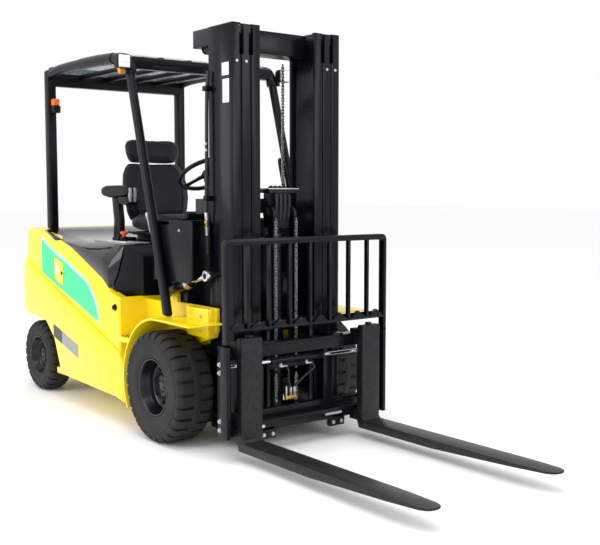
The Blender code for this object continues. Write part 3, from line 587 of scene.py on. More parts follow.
# ---- hood ----------------------------------------------------------------------------
# Blow-moulded glossy black hood over the battery, hinged at the rear. Its flanks are
# faceted: an upright skirt, then a slanting face up to the flat top with its pale tray.
# Gloss black enamel on moulded sheet: near-mirror with a faint ripple 60 mm long.
gloss_black = finish("black moulding glossy", "#07080C", "#0B0D12", 0.12, 0.04, 20.0, 0.06, coat=0.35,
                     gleam=0.3)


def seam_at(x):
    for (x0, z0), (x1, z1) in zip(SEAM, SEAM[1:]):
        if x <= x1:
            return z0 + (z1 - z0) * (x - x0) / (x1 - x0)
    return SEAM[-1][1]


stations = [(-1.428, 1.060, 1.070, 0.480), (-1.370, 1.040, 1.052, 0.475), (-1.300, 1.012, 1.030, 0.470),
            (-1.190, 0.998, 1.016, 0.462), (-1.080, 0.985, 1.002, 0.455), (-0.960, 0.975, 1.000, 0.448),
            (-0.850, 0.962, 1.000, 0.442), (-0.750, 0.945, 1.000, 0.440), (-0.670, 0.918, 1.000, 0.446),
            (-0.590, 0.872, 1.000, 0.456)]
bm = bmesh.new()
rows = []
for x, crease, top, reach in stations:
    x = AX + x
    low = seam_at(x) + 0.003
    half = [(0.535, low), (0.535, crease), (reach, top - 0.002), (reach - 0.03, top), (0.0, top)]
    ring = [(x, -y, z) for y, z in half] + [(x, y, z) for y, z in reversed(half[:-1])]
    rows.append([bm.verts.new(co) for co in ring])
half = [(0.517, 0.757), (0.493, 0.850), (0.466, 0.996), (0.436, 1.000), (0.0, 1.000)]
ring = []
for y, z in half:
    ring.append((lid_edge(LID_R, z), -y, z))
ring += [(x, -y, z) for x, y, z in reversed(ring[:-1])]
rows.append([bm.verts.new(co) for co in ring])
for first, second in zip(rows, rows[1:]):
    for i in range(len(first) - 1):
        bm.faces.new((first[i], second[i], second[i + 1], first[i + 1]))
bmesh.ops.recalc_face_normals(bm, faces=bm.faces)
if sum(face.normal.z for face in bm.faces) < 0:
    bmesh.ops.reverse_faces(bm, faces=bm.faces)
lid = loose("lid", bm)
wall = lid.modifiers.new("wall", "SOLIDIFY")
wall.thickness = 0.014
wall.offset = -1.0
bevelled(lid, 0.003, 2, 14.0).modifiers["edge"].use_clamp_overlap = True
hood = put("battery_hood", [baked(lid)], gloss_black, "hood", 40.0)
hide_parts("hood")

# Black sponge-rubber seal on the frame, which the hood's front edge closes against.
seal = []
for side in (-1, 1):
    path = []
    for step in range(12):
        z = 0.724 + 0.024 * step
        x = lid_edge(LID_R + 0.002, z)
        path.append(Vector((x, side * (0.650 - (x - AX + 0.7165) / 1.0346 - 0.016), z)))
    seal.append(piping(path, 0.009))
hood_seal = put("hood_seal", seal, mat_rubber, "chassis", 60.0)

# The tray and finger rail on the hood's top are pressed aluminium, satin, lightly scuffed.
satin_aluminium = finish("aluminium satin pressed", "#D6D9DD", "#C3C7CC", 0.34, 0.08, 1.5, 0.03, metal=0.6,
                         patch_mm=60.0)
tray = []
for side in (-1, 1):
    tray += [block(xs(-1.020, -0.620), span(side, 0.405, 0.250), (1.0002, 1.0035), 0.001),
             block(xs(-1.024, -0.616), span(side, 0.408, 0.402), (1.0002, 1.012), 0.0015)]
hood_tray = put("hood_tray", tray, satin_aluminium, "hood")
# Emergency stop: orange-red phenolic mushroom on a black collar.
stop_orange = finish("orange button moulded", "#F0641E", "#E0561A", 0.35, 0.05, 4.0, 0.02)
collar = put("stop_collar",
             [tube(spot(-0.845, -0.300, 1.0035), spot(-0.845, -0.300, 1.030), 0.024, 28, 0.003),
                             block(xs(-0.905, -0.875), (-0.320, -0.280), (1.0035, 1.040), 0.004)],
             black_abs, "hood")
button = put("stop_button", [tube(spot(-0.845, -0.300, 1.030), spot(-0.845, -0.300, 1.044), 0.012, 24),
                             tube(spot(-0.845, -0.300, 1.042), spot(-0.845, -0.300, 1.062), 0.022, 32,
                                  0.006)],
             stop_orange, "hood")


# ---- seat base, suspension and armrest ----------------------------------------------
# Pressed steel pan on a scissor suspension with a rubber bellows, and a moulded armrest
# on the driver's right that carries two fingertip levers and a silver tilt lever.
pan = [block(xs(-0.960, -0.610), (-0.215, 0.215), (1.044, 1.0595), 0.004),
       block(xs(-0.970, -0.600), (-0.195, 0.195), (1.0003, 1.010), 0.003)]
fold = slab([(AX - 0.940, -0.165), (AX - 0.630, -0.165), (AX - 0.630, 0.165), (AX - 0.940, 0.165)], 0.0,
            0.0065, "XY", 0.003)
bellows = repeated(fold, 5, step=(0, 0, 0.0072), at=(0, 0, 1.0095), material=black_abs)
for side in (-1, 1):
    rail_y = side * 0.170
    pan.append(block(xs(-0.960, -0.600), (rail_y - 0.014, rail_y + 0.014), (1.036, 1.046), 0.002))
seat_pan = put("seat_suspension", pan + [bellows], black_abs, "hood")

arm_outline = axle_frame([(-1.080, 1.300), (-1.072, 1.322), (-1.020, 1.334), (-0.860, 1.336), (-0.760, 1.330),
                          (-0.725, 1.312), (-0.730, 1.286), (-0.800, 1.270), (-0.980, 1.262),
                          (-1.070, 1.276)])
arm_parts = [slab(arm_outline, -0.334, -0.262, edge=0.012, segments=4)]
post = axle_frame([(-0.975, 1.000), (-0.885, 1.000), (-0.880, 1.120), (-0.905, 1.275), (-0.985, 1.275),
                   (-0.960, 1.120)])
arm_parts += [slab(post, -0.308, -0.272, edge=0.006),
              block(xs(-0.980, -0.870), (-0.312, -0.200), (1.0003, 1.024), 0.006)]
pod = axle_frame([(-0.860, 1.268), (-0.735, 1.268), (-0.722, 1.235), (-0.760, 1.215), (-0.850, 1.228)])
arm_parts.append(slab(pod, -0.330, -0.258, edge=0.006))
armrest = put("armrest", arm_parts, black_abs, "hood")
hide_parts("seat_base")
# Fingertip levers: warm grey soft-touch caps on steel stems.
lever_grey = finish("grey lever caps moulded", "#8C9096", "#7C8086", 0.45, 0.05, 1.2, 0.05)
caps = []
for y in (-0.318, -0.288):
    cap = axle_frame([(-0.742, 1.238), (-0.722, 1.236), (-0.714, 1.300), (-0.722, 1.322), (-0.740, 1.318)])
    caps.append(slab(cap, y - 0.008, y + 0.008, edge=0.005, segments=3))
levers = put("fingertip_levers", caps, lever_grey, "hood")
tilt_lever = put("seat_tilt_lever",
                 [tube(spot(-0.640, -0.235, 1.062), spot(-0.622, -0.262, 1.150), 0.006, 16),
                                     tube(spot(-0.624, -0.260, 1.140), spot(-0.612, -0.272, 1.176), 0.011,
                                          20, 0.004)],
                 satin_aluminium, "hood")


# ---- seat cushion and backrest -------------------------------------------------------
# Foam moulded and covered in dark blue-grey vinyl, sewn in panels: a dished cushion with
# side bolsters, and a wide curved back with an upright flared head section.
def vinyl(title, base, other):
    """Coated cloth with a leather grain about 2 mm across and a broad soft sheen."""
    mat = finish(title, base, other, 0.46, 0.07, 2.2, 0.25, patch_mm=120.0, gleam=0.2)
    shader = mat.node_tree.nodes["Principled BSDF"]
    shader.inputs["Sheen Weight"].default_value = 0.12
    shader.inputs["Sheen Roughness"].default_value = 0.4
    return mat


seat_vinyl = vinyl("vinyl grained upholstery", "#12161F", "#181D28")
piping_vinyl = vinyl("vinyl piping", "#07090D", "#0A0C12")


def pillow(bm_obj, cap, voxel=0.006):
    """Remeshes a shape, blows it up as stuffed cloth, and limits how far each point may go."""
    remesh = bm_obj.modifiers.new("even", "REMESH")
    remesh.mode = "VOXEL"
    remesh.voxel_size = voxel
    mesh = baked(bm_obj)
    start = [v.co.copy() for v in mesh.vertices]
    obj = bpy.data.objects.new("pillow", mesh)
    bpy.context.scene.collection.objects.link(obj)
    cloth = obj.modifiers.new("stuffed", "CLOTH")
    cloth.settings.use_pressure = True
    cloth.settings.uniform_pressure_force = 4.0
    cloth.settings.effector_weights.gravity = 0.0
    cloth.settings.quality = 4
    cloth.point_cache.frame_start = 1
    cloth.point_cache.frame_end = 20
    for number in range(1, 21):
        bpy.context.scene.frame_set(number)
    blown = bpy.data.meshes.new_from_object(obj.evaluated_get(bpy.context.evaluated_depsgraph_get()))
    bpy.data.objects.remove(obj, do_unlink=True)
    bpy.context.scene.frame_set(1)
    for vert, was in zip(blown.vertices, start):
        move = vert.co - was
        if move.length > cap:
            vert.co = was + move.normalized() * cap
    return blown


def ring_of(wide, thick, count=28, square=3.2):
    """Rounded rectangle as a superellipse."""
    found = []
    for i in range(count):
        turn = math.tau * i / count
        c = math.cos(turn)
        s = math.sin(turn)
        found.append((math.copysign(abs(c) ** (2.0 / square), c) * wide,
                      math.copysign(abs(s) ** (2.0 / square), s) * thick))
    return found


def back_ring(section):
    z, front, half, thick, wrap = section
    made = []
    for u, v in ring_of(half, thick / 2):
        lean = wrap * (abs(u) / half) ** 2.2
        made.append((AX + front - thick / 2 + v + lean, u, z))
    return made


# Height, front face, half width, thickness and wing depth from the bottom to the top.
back_sections = [(1.100, -0.948, 0.150, 0.070, 0.010), (1.125, -0.944, 0.190, 0.095, 0.018),
                 (1.180, -0.944, 0.215, 0.105, 0.030), (1.260, -0.956, 0.228, 0.105, 0.036),
                 (1.340, -0.975, 0.229, 0.098, 0.036), (1.410, -0.992, 0.218, 0.088, 0.030),
                 (1.450, -1.002, 0.196, 0.080, 0.022), (1.475, -1.008, 0.172, 0.072, 0.016)]
head_sections = [(1.478, -1.004, 0.150, 0.062, 0.010), (1.495, -1.000, 0.168, 0.078, 0.014),
                 (1.530, -1.002, 0.184, 0.084, 0.022), (1.580, -1.012, 0.188, 0.080, 0.024),
                 (1.608, -1.020, 0.172, 0.070, 0.018), (1.620, -1.024, 0.140, 0.052, 0.010)]


def seat_ring(section):
    x, half, low, high, dish = section
    made = []
    for u, v in ring_of(half, (high - low) / 2):
        share = abs(u) / half
        drop = dish * (1.0 - share ** 2) if v > 0 else 0.0
        made.append((AX + x, u, (low + high) / 2 + v - drop))
    return made


seat_sections = [(-0.944, 0.190, 1.075, 1.140, 0.010), (-0.925, 0.214, 1.066, 1.160, 0.018),
                 (-0.850, 0.228, 1.063, 1.170, 0.024), (-0.740, 0.231, 1.063, 1.170, 0.020),
                 (-0.650, 0.231, 1.063, 1.168, 0.012), (-0.590, 0.226, 1.064, 1.160, 0.005),
                 (-0.562, 0.212, 1.068, 1.145, 0.000), (-0.551, 0.188, 1.080, 1.125, 0.000)]
for title, sections, around, node in (("seat_back_pad", back_sections, back_ring, "seat_back"),
                                      ("headrest_pad", head_sections, back_ring, None),
                                      ("seat_cushion_pad", seat_sections, seat_ring, "seat_cushion")):
    swollen = pillow(lofted([around(section) for section in sections]), 0.007)
    pad = put(title, swollen, seat_vinyl, "hood", 60.0)
    smoother = pad.modifiers.new("smooth", "SMOOTH")
    smoother.factor = 0.6
    smoother.iterations = 8
    done = bpy.data.meshes.new_from_object(pad.evaluated_get(bpy.context.evaluated_depsgraph_get()))
    pad.modifiers.clear()
    pad.data = done
    if node:
        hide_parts(node)


seams = []
for side in (-1, 1):
    line = []
    for x, half, low, high, dish in seat_sections[1:-1]:
        y = side * (half - 0.052)
        share = abs(y) / half
        line.append((AX + x, y, high - dish * (1.0 - share ** 2) + 0.0005))
    seams.append(piping(bow(line, 6), 0.0032))
    line = []
    for z, front, half, thick, wrap in back_sections[1:-1]:
        y = side * (half - 0.060)
        line.append((AX + front + wrap * (abs(y) / half) ** 2.2 + 0.001, y, z))
    seams.append(piping(bow(line, 6), 0.0032))
seat_seams = put("seat_piping", seams, piping_vinyl, "hood", 60.0)


# ---- dash cowl and column ------------------------------------------------------------
# Folded black steel cowl with bolted side cheeks and a moulded top, a round display hood,
# and a tapered moulded boot round the steering column.
cowl_parts = [block(xs(-0.220, -0.040), (-0.350, 0.350), (0.507, 1.146), 0.006)]
cowl_parts += [block(xs(-0.220, -0.200), (-0.4565, 0.4565), (0.830, 1.146), 0.004),
               block(xs(-0.220, -0.035), (-0.4565, 0.4565), (1.120, 1.146), 0.006)]
for side in (-1, 1):
    cheek = axle_frame([(-0.220, 0.830), (0.150, 0.830), (0.180, 0.860), (0.180, 1.146), (-0.220, 1.146)])
    cowl_parts.append(slab(cheek, *span(side, 0.445, 0.4565), edge=0.003))
base_at = spot(-0.190, 0, 1.080)
tip_at = spot(-0.3685, 0, 1.3804)
aim = Matrix.Translation(base_at) @ (tip_at - base_at).to_track_quat("Z", "Y").to_matrix().to_4x4()
boot = [(0.060, 0.000), (0.056, 0.040), (0.046, 0.110), (0.040, 0.200), (0.036, 0.300), (0.034, 0.345)]
rings = []
for radius, up in boot:
    turns = [math.tau * i / 32 for i in range(32)]
    rings.append([aim @ Vector((radius * math.cos(turn), radius * math.sin(turn), up)) for turn in turns])
cowl_parts.append(baked(bevelled(lofted(rings), 0.004, 2, 50.0)))
display = axle_frame([(-0.215, 1.140), (-0.112, 1.140), (-0.108, 1.180), (-0.138, 1.194), (-0.180, 1.160)])
cowl_parts.append(slab(display, -0.300, -0.110, edge=0.010, segments=3))
cowl = put("dash_cowl_cover", cowl_parts, black_enamel, "chassis")
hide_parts("dash_cowl")
cheek_bolts = []
for side in (-1, 1):
    for x, z in ((-0.180, 1.020), (-0.175, 0.965), (-0.172, 0.905), (-0.185, 1.098), (0.060, 1.098)):
        cheek_bolts.append(bolt(spot(x, side * 0.4567, z), (0, side, 0), 0.011))
cowl_bolts = put("cowl_bolts", cheek_bolts, zinc, "chassis")


# ---- steering wheel ------------------------------------------------------------------
# Polyurethane-skinned steel ring with three flat spokes, a domed hub cap and a round
# spinner knob; moulded black with a fine grain.
wheel_at = spot(-0.380, 0, 1.400)
wheel_axis = Vector((-0.5115, 0, 0.8593))
aim = Matrix.Translation(wheel_at) @ wheel_axis.to_track_quat("Z", "Y").to_matrix().to_4x4()
bm = bmesh.new()
rows = []
for i in range(72):
    turn = math.tau * i / 72
    row = []
    for j in range(14):
        roll = math.tau * j / 14
        radius = 0.165 + 0.0125 * math.cos(roll)
        row.append(bm.verts.new((radius * math.cos(turn), radius * math.sin(turn), 0.0125 * math.sin(roll))))
    rows.append(row)
for i in range(72):
    for j in range(14):
        bm.faces.new((rows[i][j], rows[(i + 1) % 72][j], rows[(i + 1) % 72][(j + 1) % 14],
                      rows[i][(j + 1) % 14]))
bmesh.ops.recalc_face_normals(bm, faces=bm.faces)
wheel_parts = [baked(loose("rim", bm))]
spoke = slab([(0.020, -0.020), (0.090, -0.012), (0.160, -0.015), (0.160, 0.015), (0.090, 0.012),
              (0.020, 0.020)],
             -0.005, 0.006, "XY", 0.003)
for turn in (60, 180, 300):
    copy = spoke.copy()
    copy.transform(Matrix.Rotation(math.radians(turn + 120), 4, "Z"))
    wheel_parts.append(copy)
wheel_parts += [tube((0, 0, -0.020), (0, 0, 0.010), 0.036, 40, 0.004),
                tube((0, 0, 0.008), (0, 0, 0.018), 0.030, 40, 0.005),
                tube((-0.115, 0.115, 0.004), (-0.115, 0.115, 0.018), 0.007, 16),
                tube((-0.115, 0.115, 0.014), (-0.115, 0.115, 0.045), 0.0175, 32, 0.007)]
wheel_mesh = gathered(wheel_parts)
wheel_mesh.transform(aim)
wheel = put("hand_wheel", wheel_mesh, black_abs, "steering_wheel", 40.0)
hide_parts("steering_wheel")


# ---- overhead guard ------------------------------------------------------------------
# Welded black tube frame: bent round side rails, square rear legs, raked front legs and
# four roof bars, with a clear blue-tinted polycarbonate sheet laid between them.
GUARD_Y = 0.470
guard_parts = []
for side in (-1, 1):
    guard_parts.append(block(xs(-1.512, -1.452), span(side, 0.4405, 0.500), (1.0605, 2.060), 0.014, 4))
    leg = axle_frame([(-0.060, 0.648), (0.000, 0.648), (-0.030, 0.760), (-0.190, 1.300), (-0.385, 1.960),
                      (-0.435, 1.960), (-0.240, 1.290), (-0.085, 0.760)])
    guard_parts.append(slab(leg, *span(side, 0.457, 0.499), edge=0.017, segments=5))
    rail = [spot(-1.482, side * GUARD_Y, 2.030), spot(-1.300, side * GUARD_Y, 2.050),
            spot(-0.900, side * GUARD_Y, 2.049), spot(-0.560, side * GUARD_Y, 2.035),
            spot(-0.440, side * GUARD_Y, 2.012), spot(-0.410, side * GUARD_Y, 1.970),
            spot(-0.402, side * GUARD_Y, 1.930)]
    guard_parts.append(piping(bow(rail, 6), 0.0295))
    sleeve = [spot(-1.020, side * GUARD_Y, 2.0495), spot(-0.800, side * GUARD_Y, 2.046),
              spot(-0.600, side * GUARD_Y, 2.037)]
    guard_parts.append(piping(bow(sleeve, 5), 0.0335))
guard_parts += [block(xs(-1.510, -1.450), (-0.470, 0.470), (1.960, 2.080), 0.010, 3),
                block(xs(-0.450, -0.390), (-0.470, 0.470), (1.965, 2.030), 0.010, 3)]
bar = block(xs(-1.480, -0.420), (-0.015, 0.015), (2.0105, 2.040), 0.004)
guard_parts.append(repeated(bar, 4, step=(0, 0.18, 0), at=(0, -0.27, 0), material=black_enamel))
guard = put("guard_frame", guard_parts, black_enamel, "chassis", 40.0)
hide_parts("overhead_guard")
grab = [spot(-0.110, 0.448, 0.980), spot(-0.140, 0.436, 1.010), spot(-0.195, 0.436, 1.200),
        spot(-0.270, 0.436, 1.450), spot(-0.290, 0.450, 1.490)]
grab_handle = put("grab_handle", piping(bow(grab, 8), 0.011), black_abs, "chassis", 60.0)
# Clear polycarbonate with a cool tint, so it reads as a thin bright sheet.
roof_clear = bpy.data.materials.new("polycarbonate clear sheet")
roof_clear.use_nodes = True
tree = roof_clear.node_tree
shader = tree.nodes["Principled BSDF"]
where = add(tree, "ShaderNodeTexCoord").outputs["Object"]
haze = add(tree, "ShaderNodeTexNoise", {"Vector": where, "Scale": 14.0, "Detail": 4.0})
cloud = add(tree, "ShaderNodeMapRange", {"Value": haze.outputs["Fac"], "To Min": 0.05, "To Max": 0.16})
tree.links.new(cloud.outputs[0], shader.inputs["Roughness"])
shader.inputs["Base Color"].default_value = srgb("#BFD4E6")
shader.inputs["Alpha"].default_value = 0.45
shader.inputs["Coat Weight"].default_value = 0.6
frame["nodes"]["roof_panel"].material_slots[0].material = roof_clear


# ---- lamps ---------------------------------------------------------------------------
# Square work lamps with an LED array behind a frosted lens in a ribbed black housing,
# an amber turn lamp beside each, and an orange beacon inside the right rear leg.
# Lamp lenses: hard clear-coated plastic, frosted white and amber.
lens_white = finish("frosted lamp lens moulded", "#F6F8FA", "#E9EDF0", 0.18, 0.04, 6.0, 0.05, coat=0.6)
lens_amber = finish("amber lamp lens moulded", "#FFA41C", "#F08F10", 0.22, 0.04, 4.0, 0.10, coat=0.5)
for side, label in SIDES:
    ys = span(side, 0.5005, 0.5740)
    shell = [block(xs(-0.400, -0.356), ys, (1.956, 2.029), 0.006, 3)]
    fin = block(xs(-0.412, -0.398), (ys[0] + 0.004, ys[0] + 0.007), (1.964, 2.020), 0.001, 1)
    shell += [repeated(fin, 8, step=(0, 0.0088, 0), material=black_abs),
              block(xs(-0.392, -0.376), span(side, 0.495, 0.515), (1.930, 1.960), 0.003)]
    housing = put("lamp_housing_" + label, shell, black_abs, "chassis")
    lens_mesh = [block(xs(-0.357, -0.3505), (ys[0] + 0.004, ys[1] - 0.004), (1.960, 2.025), 0.003)]
    cell = tube((0, 0, 0), (0.0012, 0, 0), 0.0085, 20, 0.0005)
    for row in range(3):
        lens_mesh.append(repeated(cell, 3, step=(0, 0.020, 0),
                                  at=spot(-0.3508, ys[0] + 0.0165, 1.9715 + row * 0.021),
                                  material=lens_white))
    glass = put("lamp_lens_" + label, lens_mesh, lens_white, "chassis")
    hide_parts("work_lamp_" + label)
    turn_lamp = put("turn_lamp_" + label,
                    slab(axle_frame([(-0.470, 2.000), (-0.445, 2.008), (-0.420, 1.955), (-0.430, 1.930),
                                     (-0.445, 1.940)]),
                         *span(side, 0.4995, 0.530), edge=0.005, segments=3), lens_amber, "chassis")
beacon_box = put("beacon_box", block(xs(-1.448, -1.395), (-0.485, -0.440), (1.790, 1.835), 0.004), black_abs,
                 "chassis")
beacon = put("beacon_lens", block(xs(-1.447, -1.400), (-0.483, -0.443), (1.835, 1.878), 0.007, 3),
             stop_orange, "chassis")


# ---- counterweight -------------------------------------------------------------------
# One grey-iron casting, filled and enamelled yellow: a full lower body rounded in plan,
# a waist line, and a smaller crown; a tail with a tow pocket and a drop-in steel pin.
RX = AX - 1.650
levels = [(0.513, 0.385, 0.528), (0.522, 0.402, 0.537), (0.560, 0.410, 0.540), (0.700, 0.410, 0.540),
          (0.825, 0.406, 0.539), (0.846, 0.396, 0.535), (0.858, 0.372, 0.529), (0.875, 0.356, 0.525),
          (0.930, 0.350, 0.523), (1.000, 0.344, 0.520), (1.035, 0.336, 0.515), (1.052, 0.322, 0.506),
          (1.060, 0.300, 0.490)]
rings = []
for z, deep, wide in levels:
    ring = []
    for i in range(49):
        turn = math.radians(-90 + 180 * i / 48)
        c = max(math.cos(turn), 0.0) ** 0.80
        s = math.copysign(abs(math.sin(turn)) ** 0.80, math.sin(turn))
        ring.append((RX - 0.0706 - (deep - 0.0706) * c, wide * s, z))
    rings.append(ring)
casting = baked(lofted(rings))
pocket = block((RX - 0.500, RX - 0.350), (-0.055, 0.055), (0.600, 0.700), 0.0)
casting = carve(casting, pocket, "DIFFERENCE")
weight_parts = [casting, block((RX - 0.110, RX + 0.205), (-0.479, 0.479), (0.520, 1.0585), 0.004),
                block((RX + 0.150, RX + 0.290), (-0.479, 0.479), (0.520, 0.980), 0.004),
                block((RX - 0.390, RX - 0.325), (-0.300, 0.300), (0.190, 0.530), 0.020, 4),
                block((RX - 0.070, RX + 0.070), (-0.100, 0.100), (0.300, 0.530), 0.006)]
weight = put("counterweight_casting", weight_parts, yellow_enamel, "chassis", 40.0)
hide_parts("counterweight")
tow_pin = put("tow_pin", [tube((RX - 0.385, 0, 0.602), (RX - 0.385, 0, 0.716), 0.0125, 28, 0.002),
                          tube((RX - 0.385, 0, 0.706), (RX - 0.385, 0, 0.716), 0.0200, 28, 0.003)],
              zinc, "chassis")


# ---- battery, drive axle, steer axle and knuckles -----------------------------------
# Folded steel battery tray in grey enamel; cast and welded axle parts in satin black.
# Battery tray: grey powder coat, matt, with an even orange peel and settled dust.
battery_grey = finish("grey enamel powder coat", "#55585D", "#4B4E53", 0.55, 0.06, 1.5, 0.10, dust=0.3)


def softened(node, width, angle=25.0):
    """The node's own shape with its edges rounded."""
    source = frame["nodes"][node]
    mesh = source.data.copy()
    mesh.transform(source.matrix_world)
    return rounded(mesh, width, 2, angle) if width > 0.0 else mesh


for node, material, title in (("battery", battery_grey, "battery_tray"),
                              ("drive_axle", black_enamel, "drive_axle_case"),
                              ("steer_axle", black_enamel, "steer_axle_beam"),
                              ("knuckle_right", black_enamel, "steer_knuckle_right"),
                              ("knuckle_left", black_enamel, "steer_knuckle_left")):
    piece = put(title, softened(node, 0.003), material, body_of(node), 40.0)
    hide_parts(node)


# ---- tyres ---------------------------------------------------------------------------
# Solid industrial tyres, vulcanised in one piece: a smooth sidewall with one raised line,
# a smooth band round the crown, and blocks parted by slots from alternate shoulders.
# Tyre rubber: dark, matt, faintly patchy where dust has been rubbed off.
tyre_rubber = finish("tyre rubber vulcanised", "#16171A", "#1E1F22", 0.66, 0.08, 1.6, 0.12, dust=0.14,
                     patch_mm=90.0, gleam=0.25)
# Rim enamel: glossier than the masts, with a faint orange peel.
rim_enamel = finish("rim black enamel", "#07090D", "#0C0F15", 0.26, 0.08, 3.0, 0.04, coat=0.15, gleam=0.3)


def revolved(points, sides, closed):
    """Solid of revolution about Y from (radius, offset) pairs."""
    bm = bmesh.new()
    line = [bm.verts.new((r, h, 0.0)) for r, h in points]
    edges = [bm.edges.new((a, b)) for a, b in zip(line, line[1:])]
    if closed:
        edges.append(bm.edges.new((line[-1], line[0])))
    bmesh.ops.spin(bm, geom=line + edges, cent=(0, 0, 0), axis=(0, 1, 0), angle=math.tau, steps=sides)
    bmesh.ops.remove_doubles(bm, verts=bm.verts, dist=0.00002)
    bmesh.ops.recalc_face_normals(bm, faces=bm.faces)
    return baked(loose("revolved", bm))


def mirrored(points):
    """A profile and its mirror image across the middle plane."""
    return points + [(r, -h) for r, h in reversed(points)]


def tyre_mesh(inner, radius, half, depth, blocks, side):
    """Carcass, crown band and two rows of shoulder blocks, round Y at the origin."""
    low = radius - depth
    flank = [(inner + 0.001, half - 0.0135), (inner + 0.008, half - 0.0075), (inner + 0.020, half - 0.0030),
             (inner + 0.040, half - 0.0008), (radius - 0.0560, half - 0.0012),
             (radius - 0.0545, half + 0.0002), (radius - 0.0520, half + 0.0002),
             (radius - 0.0505, half - 0.0016), (radius - 0.0385, half - 0.0030),
             (radius - 0.0240, half - 0.0080), (low - 0.0025, half - 0.0180), (low, half - 0.0450)]
    found = [revolved(mirrored(flank), 96, True)]
    band = half * 0.20
    found.append(revolved([(low - 0.002, band), (radius - 0.001, band * 0.93), (radius, band * 0.86),
                           (radius, -band * 0.86), (radius - 0.001, -band * 0.93),
                           (low - 0.002, -band)], 96, True))
    shape = [(low - 0.003, band * 0.7), (radius - 0.0006, band * 0.80), (radius - 0.0002, half - 0.0330),
             (radius - 0.0060, half - 0.0170), (radius - 0.0180, half - 0.0045),
             (radius - 0.0340, half - 0.0007), (radius - 0.0420, half - 0.0024),
             (radius - 0.0300, half - 0.0120), (low - 0.006, half - 0.0280)]
    pitch = math.tau / blocks
    for hand, phase in ((1, 0.0), (-1, 0.5)):
        rings = []
        for step in range(4):
            turn = pitch * 0.76 * (step / 3.0 - 0.5)
            rings.append([(r * math.cos(turn), hand * h, r * math.sin(turn)) for r, h in shape])
        one = baked(bevelled(lofted(rings), 0.0016, 1, 40.0))
        found.append(repeated(one, blocks, turn=(0, pitch, 0), phase=phase, material=tyre_rubber))
    mesh = gathered(found)
    if side < 0:
        mesh.transform(Matrix.Rotation(math.pi, 4, "Z"))
    return mesh


front_rim = [(0.0, 0.047), (0.050, 0.047), (0.057, 0.043), (0.060, 0.025), (0.072, 0.0225), (0.112, 0.0225),
             (0.120, 0.028), (0.126, 0.050), (0.133, 0.062), (0.137, 0.086), (0.142, 0.096), (0.1485, 0.097),
             (0.1494, 0.094), (0.1494, -0.094), (0.132, -0.080), (0.118, 0.004), (0.070, 0.004),
             (0.065, -0.112), (0.0, -0.112)]
rear_rim = [(0.0, 0.043), (0.036, 0.043), (0.043, 0.039), (0.047, 0.022), (0.058, 0.0205), (0.096, 0.0205),
            (0.103, 0.026), (0.108, 0.040), (0.114, 0.048), (0.118, 0.062), (0.122, 0.069), (0.1268, 0.069),
            (0.1274, 0.066), (0.1274, -0.066), (0.112, -0.058), (0.100, 0.004), (0.055, 0.004),
            (0.050, -0.062), (0.0, -0.062)]
# End, x, y, radius, rim seat, half width, tread depth, blocks, rim profile, nut circle, nut size.
WHEELS = (("front", AX, 0.4925, 0.290, 0.1500, 0.1070, 0.0130, 27, front_rim, 0.092, 0.019),
          ("rear", RX, 0.4475, 0.228, 0.1280, 0.0770, 0.0100, 24, rear_rim, 0.078, 0.015))
for side, label in SIDES:
    for end, x, y, radius, inner, half, depth, blocks, profile, ring, across in WHEELS:
        place = Vector((x, side * y, radius))
        body = end + "_wheel_" + label
        mesh = tyre_mesh(inner, radius, half, depth, blocks, side)
        mesh.transform(Matrix.Translation(place))
        tyre = put(end + "_tyre_tread_" + label, mesh, tyre_rubber, body, 36.0)
        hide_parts(end + "_tyre_" + label)
        mesh = revolved([(r, side * h) for r, h in profile], 72, False)
        mesh.transform(Matrix.Translation(place))
        rim = put(end + "_rim_disc_" + label, mesh, rim_enamel, body, 36.0)
        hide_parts(end + "_rim_" + label)
        face = side * (profile[5][1] + 0.0002)
        nut = bolt((ring, face, 0), (0, side, 0), across)
        nuts = repeated(nut, 8, turn=(0, math.tau / 8, 0), phase=0.25, material=rim_enamel)
        cap = bolt((profile[1][0] * 0.62, side * (profile[0][1] + 0.0002), 0), (0, side, 0), across * 0.5)
        caps = repeated(cap, 6, turn=(0, math.tau / 6, 0), material=rim_enamel)
        fixing = gathered([nuts, caps])
        fixing.transform(Matrix.Translation(place))
        wheel_nuts = put(end + "_wheel_nuts_" + label, fixing, rim_enamel, body)


# ---- mast rails, ties and rollers ----------------------------------------------------
# Three nested stages of rolled steel section, welded to folded ties and enamelled black,
# on greased steel rollers; two blank paper labels and a hose clamp on the outer rail.
# Mast enamel: near black with a blue cast, satin, thin dust.
mast_enamel = finish("mast black enamel satin", "#06080F", "#0A0E17", 0.26, 0.07, 3.0, 0.04, coat=0.05,
                     dust=0.05, gleam=0.16)
# Worn steel: dark with old grease, brighter where it is rubbed.
worn_steel = finish("worn steel oiled", "#1A1B1F", "#26282C", 0.36, 0.12, 2.0, 0.06, metal=0.7, patch_mm=30.0)
for node, title, width in (("outer_mast", "outer_mast_rails", 0.0020),
                           ("middle_mast", "middle_mast_rails", 0.0015),
                           ("inner_mast", "inner_mast_rails", 0.0015)):
    shape = softened(node, width)
    for side in (-1, 1):
        for y in (0.2855, 0.2285):
            shape = carve(shape, block(xs(0.3548, 0.3900), span(side, y - 0.013, y + 0.013),
                                       (1.968, 2.112), 0.0), "DIFFERENCE")
    piece = put(title, shape, mast_enamel, body_of(node), 40.0)
    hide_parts(node)
bolts = []
for side in (-1, 1):
    for y in (0.3130, 0.2570):
        bolts.append(bolt(spot(0.3812, side * y, 1.935), (1, 0, 0), 0.0105))
head_bolts = put("mast_head_bolts", bolts[::2], zinc, "outer_mast")
middle_bolts = put("middle_head_bolts", bolts[1::2], zinc, "middle_mast")
